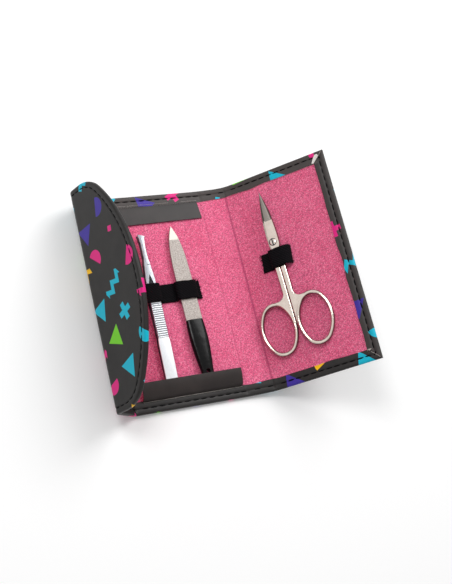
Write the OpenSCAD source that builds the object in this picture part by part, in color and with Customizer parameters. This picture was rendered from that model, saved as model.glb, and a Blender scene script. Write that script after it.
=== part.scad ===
// Manicure set case: a folding case with scissors, tweezers and a nail file.
// All sizes are in millimetres and all angles in degrees.
// The back panel lies on the table with its outer face on z = 0, X runs across it
// towards the cover and Y runs along the spine. The model stands as it is opened:
// the back lies flat, the spine and the cover lean up, and the flap is half raised.

/* [Case panels] */
// Length of the case along its spine
case_h = 112; // [106:1:130]
// Width of the back panel between its two creases
back_w = 59.5; // [58:0.5:70]
// Width of the spine between its two creases
spine_w = 14.6; // [14.2:0.1:22]
// Length of the flap from its crease to the middle of its free edge
flap_l = 39; // [34:0.5:46]
// Radius of the flap's two free corners
flap_corner_r = 18; // [12:1:24]
// Straight length of the flap's sides before its corners start
flap_side_l = 8; // [4:0.5:12]

/* [Opened angles] */
// Angle that the spine is raised from the table
spine_angle = 8; // [0:1:90]
// Angle that the cover is raised from the spine
cover_angle = 35; // [0:1:90]
// Angle that the side band is raised from the table
side_angle = 48; // [0:1:90]
// Angle that the flap is raised from the side band
flap_angle = 62; // [0:1:90]

/* [Layers] */
// Thickness of the printed outer skin
skin_t = 0.5; // [0.3:0.1:0.8]
// Thickness of the stiffening board
board_t = 1; // [0.6:0.1:1.4]
// Thickness of the felt liner
liner_t = 0.5; // [0.3:0.1:0.8]
// Width of the skin's edge that is turned over the liner
lip_w = 6; // [4:0.5:8]
// Radius of the turned edge's outside corners
edge_r = 0.9; // [0.4:0.1:1]
// Width of the slit where two turned edges meet in a mitre
mitre_w = 0.25; // [0.1:0.05:0.6]

/* [Pocket strips] */
// Thickness of a pocket strip
strip_t = 0.6; // [0.4:0.1:0.8]
// Length of both pocket strips along the panel
strip_l = 52.5; // [44:0.5:54]
// Width of the upper strip, from the turned edge to its free edge
upper_strip_w = 10.2; // [8:0.1:12]
// Height that the upper strip bulges off the liner
upper_rise = 0.4; // [0.3:0.1:0.5]
// Width of the lower strip, from the turned edge to its free edge
lower_strip_w = 8.2; // [7:0.1:10]
// Height that the lower strip bulges off the liner, over the tools' ends
lower_rise = 3.9; // [3.6:0.1:5]
// Slant of the upper strip's cut ends
strip_slant = 6; // [0:1:15]

/* [Elastic loops] */
// Width of the elastic
elastic_w = 9.6; // [8:0.2:11]
// Thickness of the elastic
elastic_t = 1; // [0.6:0.1:1.2]
// Place along the panel of the loops' middle, on the back
back_loop_y = 1.6; // [0:0.1:3]
// Length of the elastic's ends that are tacked to the liner
tab_l = 4.6; // [2:0.2:6]

/* [Scissors] */
// Distance of the screw from the cover's crease
scissors_u = 20.2; // [19:0.1:24]
// Place of the screw along the cover
screw_y = 17; // [12:0.5:20]
// Turn of the scissors out of line with the case
scissors_tilt = 1.3; // [0:0.1:1.5]
// Length of the blades beyond the screw
blade_l = 28.3; // [24:0.1:32]
// Width of both blades together at the screw
blade_w = 6; // [5.6:0.1:6.4]
// Thickness of one blade
blade_t = 1.3; // [1:0.05:1.5]
// Depth of the hollow grinding at the blades' tips
grind_depth = 0.6; // [0.2:0.05:0.8]
// Width of one shank
shank_w = 2.8; // [2.4:0.1:3]
// Gap between the two shanks when the blades are shut
seam_w = 0.3; // [0.2:0.05:0.5]
// Distance from the screw to the middle of the finger rings
ring_y = 44.2; // [42:0.1:48]
// Outside half width of a finger ring
ring_a = 9.7; // [9:0.1:11]
// Outside half length of a finger ring
ring_b = 14.1; // [13:0.1:15]
// Outside radius of a finger ring's two ends
ring_end_r = 7.6; // [7:0.1:8.5]
// Width of a finger ring's wire
ring_wire = 1.6; // [1.4:0.1:2]
// Lean of each finger ring away from the other
ring_splay = 2.5; // [0:0.5:5]
// Radius of the hollow between a shank and its ring
shoulder_r = 3.6; // [2.5:0.1:4.5]
// Radius of the screw's shaft
screw_r = 1.1; // [0.8:0.05:1.3]
// Radius of the screw's head
screw_head_r = 1.85; // [1.6:0.05:2.1]

/* [Tweezers] */
// Distance of the tweezers from the spine's crease
tweezers_u = 37.9; // [36:0.1:40]
// Length of the tweezers
tweezers_l = 81.4; // [78:0.1:84]
// Width of the tweezers' joined end
tail_w = 6.1; // [5:0.1:6.2]
// Width of the ribbed grip
grip_w = 5.4; // [4.5:0.1:6]
// Width of the neck behind the tip
neck_w = 2.1; // [1.6:0.1:3]
// Width of the slanted tip
tip_w = 3.6; // [2.6:0.1:4.5]
// Thickness of an arm
arm_t = 0.9; // [0.7:0.05:1]
// Height of the upper arm's bow above the joined end
arm_bow = 1.9; // [1.5:0.05:2.1]
// Opening between the two tips
tip_gap = 1.5; // [1.2:0.1:1.8]
// Spacing of the grip's ribs
rib_pitch = 1.1; // [0.8:0.05:1.5]
// Depth of the grooves between the ribs
rib_depth = 0.2; // [0.1:0.05:0.3]

/* [Nail file] */
// Distance of the file from the spine's crease, where its handle starts
file_u = 19.6; // [18:0.1:21]
// Turn of the file out of line with the case
file_tilt = 1; // [0:0.1:1.2]
// Length of the blade in front of the handle
file_blade_l = 50.6; // [46:0.1:54]
// Width of the blade
file_blade_w = 8.6; // [7:0.1:8.8]
// Thickness of the blade
file_blade_t = 1; // [0.8:0.05:1.2]
// Length of the handle
file_handle_l = 31; // [28:0.5:34]
// Greatest width of the handle
file_handle_w = 9.6; // [9:0.1:11]
// Greatest thickness of the handle
file_handle_t = 3.8; // [3.2:0.1:4]

/* [Closure] */
// Distance of the magnet from the flap's crease
magnet_u = 27; // [20:0.5:30]
// Radius of the magnet
magnet_r = 4; // [3:0.25:5]
// Radius of the steel keeper
keeper_r = 5; // [4:0.25:6]

/* [Hidden] */
$fn = 48;

// Clearances
fit_gap = 0.1;   // between two layers' edges in one panel
fold_gap = 0.2;  // spare room beside a crease, when it is folded to a right angle
close_gap = 0.3; // between panels that lie on each other when the case is shut
tool_gap = 0.3;  // under a tool, and all round it in its loop
pass_gap = 0.2;  // between the scissors and the turned edge that they slide over
pin_gap = 0.05;  // round the screw's shaft in the blade that turns on it

// Where two arcs run into one another, one is a little thinner and its end is sunk in the other
join_inset = 0.02;
join_l = 0.3;

// Heights of the layers above a panel's outer face
board_z = skin_t;
liner_z = board_z + board_t;
face_z = liner_z + liner_t;
edge_t = face_z + skin_t;

// Widths that follow from how the shut case wraps round itself
cover_w = back_w - (edge_t - skin_t) - close_gap;
side_w = spine_w + edge_t + close_gap;
keeper_u = back_w - magnet_u;
magnet_t = board_t - 2 * fit_gap;
half_h = case_h / 2;
lip_y = half_h - lip_w;

// Heights of the tools above the outer face of their panel
tool_z = face_z + tool_gap;
scissors_z = edge_t + pass_gap;
scissors_t = 2 * blade_t;
screw_dome = 0.25;
screw_slot_w = 0.5;
file_mid_z = tool_z + file_handle_t / 2;

// Places of the tools along the case
tweezers_y = -lip_y + 1.9;
file_end_y = -lip_y + 5.2;
handle_front_y = file_end_y + file_handle_l;
strip_mid_x = back_w / 2 - 1.6 - strip_l / 2;

// ---- Shared shapes ----

// Points of an arc round c, from angle a0 to angle a1
function arc(c, r, a0, a1, n = 12) =
    [for (i = [0:n]) let (a = a0 + (a1 - a0) * i / n) c + r * [cos(a), sin(a)]];

// Points of a line from p to q that bows out sideways by s, to its left
function bowed(p, q, s, n = 10) =
    let (d = q - p, side = [-d.y, d.x] / norm(d))
    [for (i = [0:n]) let (t = i / n) p + t * d + 4 * s * t * (1 - t) * side];

// How far a layer with its top at height z stays from a crease, so that panels fold square
function crease_stop(z) = max(z - skin_t, 0) + fold_gap / 2 * (z > skin_t ? 2 : 1);

// Section of a turned edge: the outer corner round, its opening towards -x
module edge_section(inset = 0) {
    wall = skin_t - inset;
    polygon(concat(
        [[inset - lip_w, inset]],
        arc([-edge_r, edge_r], edge_r - inset, -90, 0, 5),
        arc([-edge_r, edge_t - edge_r], edge_r - inset, 0, 90, 5),
        [
            [inset - lip_w, edge_t - inset], [inset - lip_w, edge_t - wall],
            [-wall, edge_t - wall], [-wall, wall], [inset - lip_w, wall]
        ]
    ));
}

// Turned edge along X from x0 to x1, its outside on y = half_h
module long_edge(x0, x1, inset = 0) {
    translate([x0, half_h, 0]) rotate([90, 0, 90]) linear_extrude(x1 - x0) edge_section(inset);
}

// Room that a fold at x = 0 needs in the turned edges, above the skin
module fold_room() {
    translate([-edge_t, -case_h, skin_t])
        cube([edge_t + crease_stop(edge_t), 2 * case_h, edge_t]);
}

// Skin of a panel with creases on both sides, from x = 0 to x = w
module open_skin(w) {
    stop = crease_stop(skin_t);
    difference() {
        union() {
            translate([stop, -half_h + lip_w / 2, 0])
                cube([w - 2 * stop, case_h - lip_w, skin_t]);
            for (s = [0, 1]) mirror([0, s, 0]) long_edge(stop, w - stop);
        }
        fold_room();
        translate([w, 0, 0]) mirror([1, 0, 0]) fold_room();
    }
}

// Skin of a panel with a crease at x = 0 and a turned free edge at x = w
module end_skin(w) {
    stop = crease_stop(skin_t);
    inner = lip_w + skin_t;
    difference() {
        union() {
            translate([stop, -half_h + lip_w / 2, 0])
                cube([w - stop - lip_w / 2, case_h - lip_w, skin_t]);
            for (s = [0, 1]) mirror([0, s, 0]) intersection() {
                long_edge(stop, w);
                linear_extrude(edge_t)
                    polygon([[0, half_h], [w, half_h], [w - inner, half_h - inner], [0, half_h - inner]]);
            }
            intersection() {
                translate([w, half_h, 0]) rotate([90, 0, 0]) linear_extrude(case_h) edge_section();
                linear_extrude(edge_t)
                    polygon([
                        [w, half_h], [w, -half_h], [w - inner, -half_h + inner], [w - inner, half_h - inner]
                    ]);
            }
        }
        fold_room();
        for (s = [0, 1]) mirror([0, s, 0])
            translate([w, half_h, edge_t - skin_t])
                rotate([0, 0, -135])
                    translate([2 * edge_r, -mitre_w / 2, 0])
                        cube([2 * lip_w, mitre_w, edge_t]);
    }
}

// Flat layer of a panel from x0 to x1, between two heights
module layer(x0, x1, z0, z1) {
    edge_y = half_h - skin_t - fit_gap;
    translate([x0, -edge_y, z0]) cube([x1 - x0, 2 * edge_y, z1 - z0]);
}

// Board or liner of a panel with creases on both sides
module open_layer(w, z0, z1) {
    stop = crease_stop(z1);
    layer(stop, w - stop, z0, z1);
}

// Board or liner of the cover, with its free edge inside the turned skin
module end_layer(w, z0, z1) {
    layer(crease_stop(z1), w - skin_t - fit_gap, z0, z1);
}

// Shape with upright sides and two round upper corners, standing on y = 0
module arch(w, h, r) {
    translate([-w / 2, 0]) square([w, h - r]);
    translate([-w / 2 + r, 0]) square([w - 2 * r, h]);
    for (s = [-1, 1]) translate([s * (w / 2 - r), h - r]) circle(r);
}

// ---- Where each panel stands ----

module place_back() {
    translate([-back_w / 2, 0, 0]) children();
}

// Turns a panel up about its crease, which lies on the skin's inner face at x = 0
module fold_up(a) {
    translate([0, 0, skin_t]) rotate([0, -a, 0]) translate([0, 0, -skin_t]) children();
}

module place_spine() {
    translate([back_w / 2, 0, 0]) fold_up(spine_angle) children();
}

module place_cover() {
    place_spine() translate([spine_w, 0, 0]) fold_up(cover_angle) children();
}

module place_side() {
    translate([-back_w / 2, 0, 0]) mirror([1, 0, 0]) fold_up(side_angle) children();
}

module place_flap() {
    place_side() translate([side_w, 0, 0]) fold_up(flap_angle) children();
}

// ---- Back panel ----

module back_skin() {
    color("#3b3836") place_back() open_skin(back_w);
}

module back_board() {
    color("#b9a684") place_back() open_layer(back_w, board_z, liner_z);
}

module back_liner() {
    color("#ea5c8c") place_back() open_layer(back_w, liner_z, face_z);
}

// Vinyl strip along the panel's end: its root lies at the turned edge and it bulges off the liner
module pocket_strip(width, rise, end_slant) {
    slant = width * tan(end_slant);
    intersection() {
        translate([strip_mid_x - strip_l / 2, lip_y, face_z])
            rotate([90, 0, 90])
                linear_extrude(strip_l)
                    polygon(concat(
                        [for (i = [0:12]) let (t = 90 * i / 12)
                            [-width * (1 - cos(t)), (rise + strip_t) * sin(t)]],
                        [for (i = [12:-1:0]) let (t = 90 * i / 12)
                            [-width + (width - strip_t) * cos(t), rise * sin(t)]]
                    ));
        translate([strip_mid_x, lip_y, 0])
            linear_extrude(2 * (face_z + rise))
                polygon([
                    [-strip_l / 2, 0], [strip_l / 2, 0],
                    [strip_l / 2 - slant, -width], [-strip_l / 2 + slant, -width]
                ]);
    }
}

module upper_pocket() {
    color("#4a4644") pocket_strip(upper_strip_w, upper_rise, strip_slant);
}

module lower_pocket() {
    color("#4a4644") mirror([0, 1, 0]) pocket_strip(lower_strip_w, lower_rise, 0);
}

// Elastic that loops over the tweezers, is sewn down between, and loops over the file
module tool_elastic() {
    tweezers_x = back_w / 2 - tweezers_u;
    file_x = back_w / 2 - file_u - (back_loop_y - handle_front_y) * sin(file_tilt);
    loop_w = [tail_w + 2 * tool_gap, file_blade_w + 4 * tool_gap];
    loop_h = [
        2 * arm_t + arm_bow + 2 * tool_gap + fit_gap,
        file_mid_z + file_blade_t / 2 + tool_gap - face_z
    ];
    loop_r = [1.6, 1.2];
    loop_x = [tweezers_x, file_x];
    end_x = [
        tweezers_x - loop_w[0] / 2 - elastic_t - tab_l / 2,
        file_x + loop_w[1] / 2 + elastic_t + tab_l / 6
    ];
    color("#121114")
        translate([0, back_loop_y + elastic_w / 2, face_z])
            rotate([90, 0, 0])
                linear_extrude(elastic_w)
                    difference() {
                        union() {
                            translate([end_x[0], 0]) square([end_x[1] - end_x[0], elastic_t]);
                            for (i = [0, 1])
                                translate([loop_x[i], 0])
                                    arch(loop_w[i] + 2 * elastic_t, loop_h[i] + elastic_t,
                                        loop_r[i] + elastic_t);
                        }
                        for (i = [0, 1])
                            translate([loop_x[i], -elastic_t])
                                arch(loop_w[i], loop_h[i] + elastic_t, loop_r[i]);
                    }
}

// ---- Spine ----

module spine_skin() {
    color("#3b3836") place_spine() open_skin(spine_w);
}

module spine_board() {
    color("#b9a684") place_spine() open_layer(spine_w, board_z, liner_z);
}

module spine_liner() {
    color("#ea5c8c") place_spine() open_layer(spine_w, liner_z, face_z);
}

// ---- Cover ----

module cover_skin() {
    color("#3b3836") place_cover() end_skin(cover_w);
}

module cover_board() {
    color("#b9a684") place_cover()
        difference() {
            end_layer(cover_w, board_z, liner_z);
            translate([keeper_u, 0, board_z - 1]) cylinder(r = keeper_r + fit_gap, h = board_t + 2);
        }
}

module cover_liner() {
    color("#ea5c8c") place_cover() end_layer(cover_w, liner_z, face_z);
}

// Steel plate that holds the flap's magnet, sunk in the cover's board
module closure_keeper() {
    color("#8d9196") place_cover()
        translate([keeper_u, 0, board_z + fit_gap]) cylinder(r = keeper_r, h = magnet_t);
}

// Elastic over the scissors' shanks, tacked down on both sides
module scissors_elastic() {
    loop_w = blade_w + 3 * tool_gap;
    loop_h = scissors_z + scissors_t + screw_dome + tool_gap - face_z;
    end_x = loop_w / 2 + elastic_t + tab_l;
    color("#121114") place_scissors(0)
        translate([0, -screw_head_r - elastic_w / 4, face_z])
            rotate([90, 0, 0])
                linear_extrude(elastic_w)
                    difference() {
                        union() {
                            translate([-end_x, 0]) square([2 * end_x - tab_l / 2, elastic_t]);
                            arch(loop_w + 2 * elastic_t, loop_h + elastic_t, 1.4 + elastic_t);
                        }
                        translate([0, -elastic_t]) arch(loop_w, loop_h + elastic_t, 1.4);
                    }
}

// ---- Side band ----

module side_skin() {
    color("#3b3836") place_side() open_skin(side_w);
}

module side_board() {
    color("#b9a684") place_side() open_layer(side_w, board_z, liner_z);
}

module side_liner() {
    color("#ea5c8c") place_side() open_layer(side_w, liner_z, face_z);
}

// ---- Flap ----

// The flap's free edge is one shallow arc that runs smoothly into two corner arcs
corner_c = [flap_side_l, half_h - flap_corner_r];
brow_x = (norm(corner_c) ^ 2 - (flap_l - flap_corner_r) ^ 2)
    / (2 * (flap_side_l - flap_l + flap_corner_r));
brow_r = flap_l - brow_x;
brow_a = atan2(corner_c.y, corner_c.x - brow_x);

// Outline of the flap from x0 to its free edge, drawn in by inset
function flap_outline(x0, inset) = concat(
    [[x0, inset - half_h]],
    arc([corner_c.x, -corner_c.y], flap_corner_r - inset, -90, -brow_a),
    arc([brow_x, 0], brow_r - inset, -brow_a, brow_a, 24),
    arc(corner_c, flap_corner_r - inset, brow_a, 90),
    [[x0, half_h - inset]]
);

// Part of the flap's turned edge that follows an arc round c
module arc_edge(c, r, a0, a1, inset = 0) {
    translate([c.x, c.y, 0])
        rotate([0, 0, a0])
            rotate_extrude(angle = a1 - a0) translate([r, 0]) edge_section(inset);
}

module flap_skin() {
    stop = crease_stop(skin_t);
    brow_turn = brow_a + join_l / brow_r * 180 / PI;
    color("#3b3836") place_flap()
        difference() {
            union() {
                linear_extrude(skin_t) polygon(flap_outline(stop, lip_w / 2));
                for (s = [0, 1]) mirror([0, s, 0]) {
                    long_edge(stop, flap_side_l + join_l, join_inset);
                    arc_edge(corner_c, flap_corner_r, brow_a, 90);
                }
                arc_edge([brow_x, 0], brow_r, -brow_turn, brow_turn, join_inset);
            }
            fold_room();
        }
}

module flap_layer(z0, z1) {
    translate([0, 0, z0])
        linear_extrude(z1 - z0) polygon(flap_outline(crease_stop(z1), skin_t + fit_gap));
}

module flap_board() {
    color("#b9a684") place_flap()
        difference() {
            flap_layer(board_z, liner_z);
            translate([magnet_u, 0, board_z - 1]) cylinder(r = magnet_r + fit_gap, h = board_t + 2);
        }
}

module flap_liner() {
    color("#ea5c8c") place_flap() flap_layer(liner_z, face_z);
}

// Magnet sunk in the flap's board
module closure_magnet() {
    color("#8d9196") place_flap()
        translate([magnet_u, 0, board_z + fit_gap]) cylinder(r = magnet_r, h = magnet_t);
}

// ---- Scissors, drawn round their screw with the tips towards +Y ----

module place_scissors(z) {
    place_cover() translate([scissors_u, screw_y, z]) rotate([0, 0, scissors_tilt]) children();
}

// Radius of a finger ring's long sides, so that they run smoothly into its ends
ring_side_r = ((ring_b - ring_end_r) ^ 2 + ring_a ^ 2 - ring_end_r ^ 2) / (2 * (ring_a - ring_end_r));
ring_turn = atan2(ring_b - ring_end_r, ring_side_r - ring_a);
ring_x = ring_a + seam_w / 2;
ring_end_c = [ring_x, -ring_y] + (ring_b - ring_end_r) * [sin(ring_splay), cos(ring_splay)];

// Centre of the hollow that runs from the shank's side into the ring's end
shoulder_x = shank_w + shoulder_r;
sink = 0.05;                  // how far the hollow's end is sunk in the ring
shoulder_c = [
    shoulder_x,
    ring_end_c.y + sqrt((shoulder_r + ring_end_r - sink) ^ 2 - (ring_end_c.x - shoulder_x) ^ 2)
];
shoulder_end = 360 + atan2(ring_end_c.y - shoulder_c.y, ring_end_c.x - shoulder_c.x);
lap_y = 9;                    // where the full shanks start, below the screw
bevel = 0.6;                  // rounding of a shank's long edges
web_step = 0.15;              // how far the web stands back from the shanks' faces

// Outline through the middle of a ring's wire
function ring_midline() = let (w = ring_wire / 2, c = ring_side_r - ring_a, e = ring_b - ring_end_r) concat(
    arc([-c, 0], ring_side_r - w, -ring_turn, ring_turn),
    arc([0, e], ring_end_r - w, ring_turn, 180 - ring_turn),
    arc([c, 0], ring_side_r - w, 180 - ring_turn, 180 + ring_turn),
    arc([0, -e], ring_end_r - w, 180 + ring_turn, 360 - ring_turn)
);

module place_ring() {
    translate([ring_x, -ring_y, 0]) rotate([0, 0, -ring_splay]) children();
}

// Section of a ring's wire round the radius r, with its edges taken off
module wire_section(r, inset) {
    w = ring_wire / 2 - inset;
    cut = [w / 2, bevel];
    top = scissors_t - inset;
    polygon([
        [r - w, inset + cut.y], [r - w + cut.x, inset], [r + w - cut.x, inset],
        [r + w, inset + cut.y], [r + w, top - cut.y], [r + w - cut.x, top],
        [r - w + cut.x, top], [r - w, top - cut.y]
    ]);
}

module finger_ring() {
    side_turn = ring_turn + join_l / ring_side_r * 180 / PI;
    for (turn = [0, 180]) rotate([0, 0, turn]) {
        translate([ring_a - ring_side_r, 0, 0])
            rotate([0, 0, -side_turn])
                rotate_extrude(angle = 2 * side_turn)
                    wire_section(ring_side_r - ring_wire / 2, join_inset);
        translate([0, ring_b - ring_end_r, 0])
            rotate([0, 0, ring_turn])
                rotate_extrude(angle = 180 - 2 * ring_turn)
                    wire_section(ring_end_r - ring_wire / 2, 0);
    }
}

// Shank, web and ring on the right of the seam
module handle() {
    // Shank with rounded long edges
    translate([0, -lap_y, 0])
        rotate([90, 0, 0])
            linear_extrude(-shoulder_c.y - lap_y)
                polygon(concat(
                    [[seam_w / 2, 0]],
                    arc([shank_w - bevel, bevel], bevel, -90, 0, 4),
                    arc([shank_w - bevel, scissors_t - bevel], bevel, 0, 90, 4),
                    [[seam_w / 2, scissors_t]]
                ));
    // Web between the seam, the shoulder and the ring
    translate([0, 0, web_step])
        linear_extrude(scissors_t - 2 * web_step)
            difference() {
                polygon(concat(
                    [[seam_w / 2, shoulder_c.y + bevel], [shank_w, shoulder_c.y + bevel]],
                    arc(shoulder_c, shoulder_r, 180, shoulder_end),
                    [ring_end_c, [ring_x, -ring_y], [seam_w / 2, -ring_y]]
                ));
                translate([ring_x, -ring_y]) rotate(-ring_splay) polygon(ring_midline());
            }
    place_ring() finger_ring();
}

// Outline of one blade with the lap that carries the screw, its back on the right
module blade_outline(back, edge) {
    tip = [0, blade_l];
    polygon(concat(
        [[-seam_w / 2, -lap_y - bevel], [-blade_w / 2, -blade_w / 2]],
        [[-edge, 0]],
        bowed([-edge, 0], tip, blade_w / 10),
        bowed(tip, [back, 0], blade_w / 6),
        [[blade_w / 2, -blade_w / 2], [seam_w / 2 - seam_w, -lap_y + 3]]
    ));
}

// Hollow grinding that thins a blade from below its face towards the tip
module grinding() {
    grind_r = 12;
    start_y = 11;
    slope = atan(grind_depth / (blade_l - start_y));
    translate([0, start_y, grind_r])
        rotate([-90 - slope, 0, 0])
            cylinder(r = grind_r, h = 2 * blade_l);
}

// Left ring with the upper blade, which hides the lower one
module scissors_left_half() {
    color("#c9bfb2") place_scissors(scissors_z)
        difference() {
            union() {
                mirror([1, 0, 0]) handle();
                translate([0, 0, blade_t]) linear_extrude(blade_t) blade_outline(blade_w / 2 + 0.4, blade_w / 2 - 0.7);
            }
            translate([0, 0, scissors_t]) grinding();
            translate([0, 0, -1]) cylinder(r = screw_r, h = scissors_t + 2);
            translate([0, 0, scissors_t - blade_t / 2]) cylinder(r = screw_head_r, h = blade_t);
        }
}

// Right ring with the lower blade
module scissors_right_half() {
    color("#c9bfb2") place_scissors(scissors_z)
        difference() {
            union() {
                handle();
                mirror([1, 0, 0]) linear_extrude(blade_t) blade_outline(blade_w / 2 - 0.4, blade_w / 4);
            }
            mirror([0, 0, 1]) grinding();
            translate([0, 0, -1]) cylinder(r = screw_r + pin_gap, h = scissors_t + 2);
        }
}

module scissors_screw() {
    head_z = scissors_t - blade_t / 2;
    head_t = blade_t / 2 + screw_dome;
    dome_r = (screw_head_r ^ 2 + screw_dome ^ 2) / (2 * screw_dome);
    color("#b5aca0") place_scissors(scissors_z) {
        cylinder(r = screw_r, h = head_z);
        translate([0, 0, head_z])
            difference() {
                intersection() {
                    cylinder(r = screw_head_r, h = head_t);
                    translate([0, 0, head_t - dome_r]) sphere(dome_r, $fn = 96);
                }
                translate([-screw_head_r - 1, -screw_slot_w / 2, head_t - 2 * screw_dome])
                    cube([2 * screw_head_r + 2, screw_slot_w, 1]);
            }
    }
}

// ---- Tweezers, drawn from their joined end with the tips towards +Y ----

module place_tweezers() {
    translate([back_w / 2 - tweezers_u, tweezers_y, tool_z]) children();
}

// Places along the tweezers, as distances from the joined end
grip_y0 = 27;                       // where the ribs start
grip_y1 = tweezers_l - 24.4;        // where the arms start to narrow
waist_y = tweezers_l - 16.4;        // the crimp
neck_y = [tweezers_l - 12.4, tweezers_l - 5.4];
tip_slant = 0.6;

module tweezers_outline() {
    half = [
        [tail_w / 2 - 0.6, 0], [tail_w / 2, 0.8], [tail_w / 2, grip_y0 - 4],
        [grip_w / 2, grip_y0], [grip_w / 2, grip_y1 - 8], [grip_w / 2 - 0.4, grip_y1],
        [(grip_w + neck_w) / 4 - 0.2, waist_y], [neck_w / 2, neck_y[0]], [neck_w / 2, neck_y[1]]
    ];
    polygon(concat(
        half,
        [[tip_w / 2, tweezers_l - tip_slant], [-tip_w / 2, tweezers_l]],
        [for (i = [len(half) - 1:-1:0]) [-half[i].x, half[i].y]]
    ));
}

// Height of the upper arm's inner face along the tweezers
function bow_z(y) =
    arm_t + fit_gap + arm_bow * sin(90 * min(1, y / (grip_y1 - 13)))
    + (y > grip_y1 ? (tip_lift() + tip_gap - arm_bow - fit_gap) * (y - grip_y1) / (tweezers_l - grip_y1) : 0);

// Height that the lower arm's tip lifts, to pass over the upper strip
function tip_lift() = upper_rise + strip_t;

// Long section of an arm, from a list of [y, bottom height]
module arm_section(line) {
    rotate([90, 0, 90])
        translate([0, 0, -tail_w])
            linear_extrude(2 * tail_w)
                polygon(concat(
                    line,
                    [for (i = [len(line) - 1:-1:0]) line[i] + [0, arm_t]]
                ));
}

// Grooves across the grip at height z
module rib_grooves(z) {
    for (y = [grip_y0:rib_pitch:grip_y1 - 10])
        translate([-tail_w, y, z - rib_depth])
            cube([2 * tail_w, rib_pitch / 2, 2 * rib_depth]);
}

module tweezers_lower_arm() {
    color("#dfe3e6") place_tweezers()
        difference() {
            intersection() {
                linear_extrude(4 * arm_bow) tweezers_outline();
                arm_section([[0, 0], [grip_y1, 0], [tweezers_l, tip_lift()]]);
            }
            rib_grooves(0);
        }
}

module tweezers_upper_arm() {
    steps = 12;
    window_y = [grip_y1 - 7, grip_y1 + 2.6];
    window_w = 3;
    color("#dfe3e6") place_tweezers()
        difference() {
            intersection() {
                linear_extrude(8 * arm_bow) tweezers_outline();
                arm_section(concat(
                    [for (i = [0:steps]) let (y = (grip_y1 - 13) * i / steps) [y, bow_z(y)]],
                    [for (y = [grip_y1, tweezers_l]) [y, bow_z(y)]]
                ));
            }
            // Ribs follow the arm as it rises
            for (y = [grip_y0:rib_pitch:grip_y1 - 10])
                translate([-tail_w, y, bow_z(y) + arm_t - rib_depth])
                    cube([2 * tail_w, rib_pitch / 2, 4 * rib_depth]);
            // Pointed window behind the crimp
            linear_extrude(8 * arm_bow)
                polygon([[-window_w / 2, window_y[0]], [window_w / 2, window_y[0]], [0, window_y[1]]]);
        }
}

// ---- Nail file, drawn from where its handle starts, with the tip towards +Y ----

module place_file() {
    translate([back_w / 2 - file_u, handle_front_y, file_mid_z])
        rotate([0, 0, file_tilt])
            children();
}

tang_l = 14;
tang_w = 5;

module file_blade() {
    point_n = 6; // how quickly the blade widens behind its tip
    side = [for (i = [0:16]) let (t = (i / 16) ^ 1.6)
        [file_blade_w / 2 * (1 - (1 - t) ^ point_n), file_blade_l * (1 - t)]];
    color("#c4c2bb") place_file() translate([0, 0, -file_blade_t / 2]) {
        linear_extrude(file_blade_t)
            polygon(concat(
                side,
                [[tang_w / 2, 0], [tang_w / 2, -tang_l], [-tang_w / 2, -tang_l], [-tang_w / 2, 0]],
                [for (i = [len(side) - 1:-1:1]) [-side[i].x, side[i].y]]
            ));
    }
}

// Moulded handle: stations of [distance behind its front, width, thickness]
module file_handle() {
    stations = [
        [0.6, 0.92, 0.78], [9.5, 1, 1], [20, 0.84, 0.98], [file_handle_l - 1.4, 0.62, 0.78]
    ];
    hole_r = 1.1;
    color("#17171a") place_file()
        difference() {
            hull()
                for (s = stations)
                    translate([0, -s[0], 0])
                        rotate([90, 0, 0])
                            for (side = [-1, 1])
                                translate([
                                    side * (file_handle_w * s[1] - file_handle_t * s[2]) / 2, 0, -0.6
                                ])
                                    cylinder(d = file_handle_t * s[2], h = 1.2, $fn = 32);
            translate([-tang_w / 2 - fit_gap, -tang_l - fit_gap, -file_blade_t / 2 - fit_gap / 2])
                cube([tang_w + 2 * fit_gap, tang_l + fit_gap + 1, file_blade_t + fit_gap]);
            translate([0, 4.2 - file_handle_l, -file_handle_t])
                cylinder(r = hole_r, h = 2 * file_handle_t);
        }
}

back_skin();
back_board();
back_liner();
upper_pocket();
lower_pocket();
tool_elastic();
spine_skin();
spine_board();
spine_liner();
cover_skin();
cover_board();
cover_liner();
scissors_elastic();
closure_keeper();
side_skin();
side_board();
side_liner();
flap_skin();
flap_board();
flap_liner();
closure_magnet();
scissors_left_half();
scissors_right_half();
scissors_screw();
tweezers_lower_arm();
tweezers_upper_arm();
file_blade();
file_handle();
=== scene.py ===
# A folding manicure set case, opened out on a pale table, with its scissors, tweezers and nail
# file. The case is one long flat pattern: s runs across its panels, y along its creases and w up
# from the outer face. stand() folds that pattern up to the way the case is opened. Lengths are
# in millimetres and become metres when a mesh is finished.
import math
import random

import bmesh
import bpy
from mathutils import Matrix, Vector, noise


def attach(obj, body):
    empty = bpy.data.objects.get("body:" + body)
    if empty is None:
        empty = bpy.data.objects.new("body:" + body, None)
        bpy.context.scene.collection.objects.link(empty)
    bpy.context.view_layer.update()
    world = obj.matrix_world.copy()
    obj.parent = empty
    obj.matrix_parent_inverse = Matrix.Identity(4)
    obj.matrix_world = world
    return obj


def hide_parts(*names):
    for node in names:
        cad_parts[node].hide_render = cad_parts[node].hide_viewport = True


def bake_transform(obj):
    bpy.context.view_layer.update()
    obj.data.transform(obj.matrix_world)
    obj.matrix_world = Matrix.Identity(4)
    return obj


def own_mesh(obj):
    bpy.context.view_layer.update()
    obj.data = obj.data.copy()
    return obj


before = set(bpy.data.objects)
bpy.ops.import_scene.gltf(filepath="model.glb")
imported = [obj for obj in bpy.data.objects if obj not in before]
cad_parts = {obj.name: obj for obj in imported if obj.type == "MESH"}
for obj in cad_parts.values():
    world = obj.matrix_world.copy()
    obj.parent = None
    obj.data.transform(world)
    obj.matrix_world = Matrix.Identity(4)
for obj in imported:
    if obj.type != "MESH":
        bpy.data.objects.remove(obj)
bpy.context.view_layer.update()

MM = 0.001
HALF = 56.0  # half the case's length along its creases
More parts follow.
